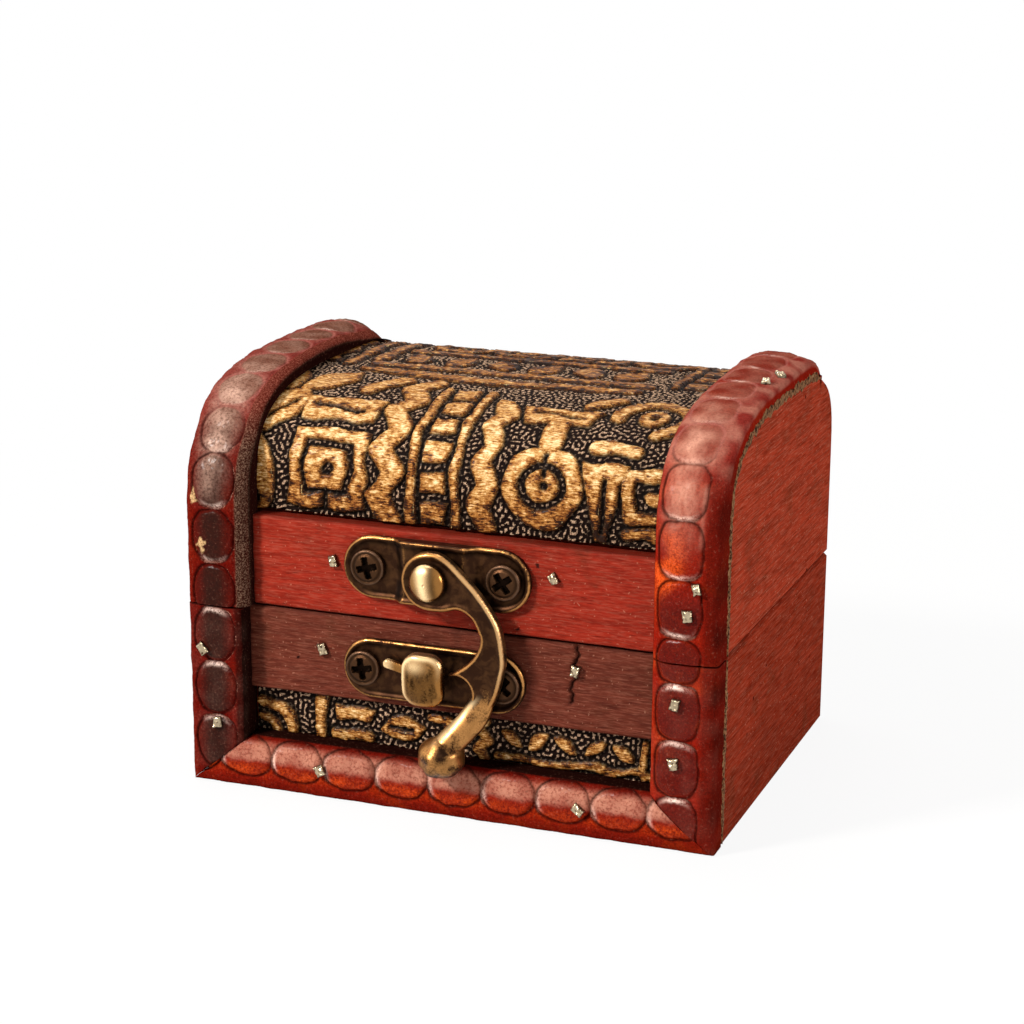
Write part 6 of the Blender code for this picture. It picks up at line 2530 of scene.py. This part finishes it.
@dataclass
class Hinges:
    """The two hinges at the back: their leaves and pins keep their solids, and their screws get crossed heads."""

    effects: SharedEffects
    spread: float = 24.0
    axis: float = 29.1
    screw_aside: float = 3.3
    screw_rise: float = 5.27
    screw_radius: float = 1.3
    screw_height: float = 0.6
    screw_seat: float = 33.85

    def build(self) -> None:
        """Dress the leaves and pins, and build the screws."""
        aged = Brass("hinge brass", aged=colour("3a2c1c"), polish=0.22, rough=0.38).material(self.effects)
        steel = BlackSteel("hinge screw steel").material(self.effects)
        for side, sign in (("left", -1), ("right", 1)):
            dress(aged, f"hinge_{side}_base_leaf", f"hinge_{side}_lid_leaf", f"hinge_{side}_pin")
            for body, up in (("base", -1), ("lid", 1)):
                for number, shift in ((1, -1), (2, 1)):
                    node = f"hinge_{side}_{body}_screw_{number}"
                    x, z = sign * self.spread + shift * self.screw_aside, self.axis + up * self.screw_rise
                    head = Hasp.screw(f"{node}_crossed", (x, z), 0.4 + x, self.screw_radius, self.screw_height,
                                      self.screw_seat, outward=1.0)
                    settle(head, steel, body, node)


@dataclass
class Studio:
    """The floor, the lamps and the camera, in metres, with the focal length in the frame's pixels."""

    azimuth: float = 20.827
    elevation: float = 15.285
    distance: float = 0.39358
    target: Point = (-0.001142, 0.0, 0.039657)
    sensor: float = 36.0
    frame_width: float = 1024.0
    focal_length: float = 2476.4
    roll: float = 0.006
    ambient: float = 0.06
    floor_front: float = -1.2
    floor_bend: float = 0.9
    floor_radius: float = 0.3
    floor_top: float = 1.5
    floor_half: float = 1.6
    floor_gap: float = 0.00005

    @staticmethod
    def lamp(name: str, place: Point, aim: Point, size: float, power: float, tint: Colour) -> None:
        """Add a square soft lamp that points from a place at an aim, in metres and watts.

        Args:
            name: the lamp's name.
            place: where it stands.
            aim: what it points at.
            size: its width.
            power: its power.
            tint: its light's colour.
        """
        light = bpy.data.lights.new(name, "AREA")
        light.size = size
        light.energy = power
        light.color = tint
        item = bpy.data.objects.new(name, light)
        bpy.context.scene.collection.objects.link(item)
        item.location = place
        item.rotation_euler = (Vector(aim) - Vector(place)).to_track_quat("-Z", "Y").to_euler()

    def camera(self) -> None:
        """Add the camera at the photograph's angle."""
        turn, rise = math.radians(self.azimuth), math.radians(self.elevation)
        away = Vector((math.sin(turn) * math.cos(rise), -math.cos(turn) * math.cos(rise), math.sin(rise)))
        data = bpy.data.cameras.new("camera")
        data.sensor_width = self.sensor
        data.lens = self.sensor * self.focal_length / self.frame_width
        data.clip_start = 0.01
        item = bpy.data.objects.new("camera", data)
        bpy.context.scene.collection.objects.link(item)
        facing = away.to_track_quat("Z", "Y").to_matrix().to_4x4() @ Matrix.Rotation(self.roll, 4, "Z")
        item.matrix_world = Matrix.Translation(Vector(self.target) + away * self.distance) @ facing
        bpy.context.scene.camera = item

    @staticmethod
    def white_seen(nodes: Nodes) -> Socket:
        """Return 1 for rays that should meet the plain white background.

        Args:
            nodes: the tree to work in.

        Returns:
            The value.
        """
        path = nodes.add("ShaderNodeLightPath").outputs
        seen = nodes.math("MAXIMUM", path["Is Camera Ray"], path["Is Glossy Ray"])
        return nodes.math("MAXIMUM", seen, path["Is Transmission Ray"])

    def world(self) -> None:
        """Light the room softly, and show it white."""
        world = bpy.data.worlds.new("studio")
        world.use_nodes = True
        bpy.context.scene.world = world
        nodes = Nodes(world.node_tree)
        background = world.node_tree.nodes["Background"]
        background.inputs["Color"].default_value = (1.0, 1.0, 1.0, 1.0)
        nodes.feed(background.inputs["Strength"], nodes.step(self.white_seen(nodes), 0.0, 1.0, self.ambient, 1.0))

    def floor(self) -> None:
        """Lay a white floor that curves up behind, which keeps the box's shadow."""
        bend, radius = self.floor_bend, self.floor_radius
        curve = [(bend + radius * math.sin(turn), radius - radius * math.cos(turn))
                 for turn in np.linspace(0, math.pi / 2, 9)[1:]]
        profile = [(self.floor_front, 0.0), (bend, 0.0), *curve, (bend + radius, self.floor_top)]
        grid = np.array([[(x, y, z - self.floor_gap) for x in (-self.floor_half, self.floor_half)] for y, z in profile])
        maker = MeshMaker("floor")
        maker.add_grid(grid / MM, {})
        item = maker.build(80.0)
        made = Surface("white floor", (0.8, 0.8, 0.8))
        made.set(Roughness=0.9)
        nodes = made.nodes
        glow = nodes.add("ShaderNodeEmission")
        glow.inputs["Strength"].default_value = 1.0
        blend = nodes.add("ShaderNodeMixShader")
        away = nodes.add("ShaderNodeVectorMath", operation="LENGTH")
        nodes.feed(away.inputs[0], nodes.place())
        clear = nodes.step(away.outputs["Value"], 60.0, 240.0, 0.91, 1.0)
        share = nodes.times(self.white_seen(nodes), clear)
        for socket, value in zip(blend.inputs, (share, made.shader.outputs[0], glow.outputs[0])):
            nodes.feed(socket, value)
        nodes.feed(nodes.tree.nodes["Material Output"].inputs["Surface"], blend.outputs[0])
        item.data.materials.append(made.material)

    def build(self) -> None:
        """Set the whole studio."""
        self.camera()
        self.world()
        self.floor()
        aim = (0.0, 0.0, 0.035)
        self.lamp("key", (-0.44, -0.52, 0.50), aim, 0.13, 9.0, (1.0, 0.95, 0.89))
        self.lamp("fill", (0.72, -0.14, 0.28), aim, 0.28, 3.4, (1.0, 0.97, 0.93))
        self.lamp("top", (-0.10, 0.12, 0.75), aim, 0.30, 2.4, (1.0, 0.98, 0.95))
        bpy.context.scene.view_settings.view_transform = "Standard"


def main() -> None:
    """Build the box's dress, piece by piece, and its studio."""
    logging.basicConfig(level=logging.INFO, format="%(message)s")
    effects = SharedEffects()
    shape = BoxShape()
    Carcass(shape, effects).build()
    Trims(shape, effects).build()
    LeatherWork(shape, effects).build()
    Rails(effects).build()
    Hasp(effects).build()
    Brads(effects).build()
    Hinges(effects).build()
    Studio().build()


if __name__ == "__main__":
    main()
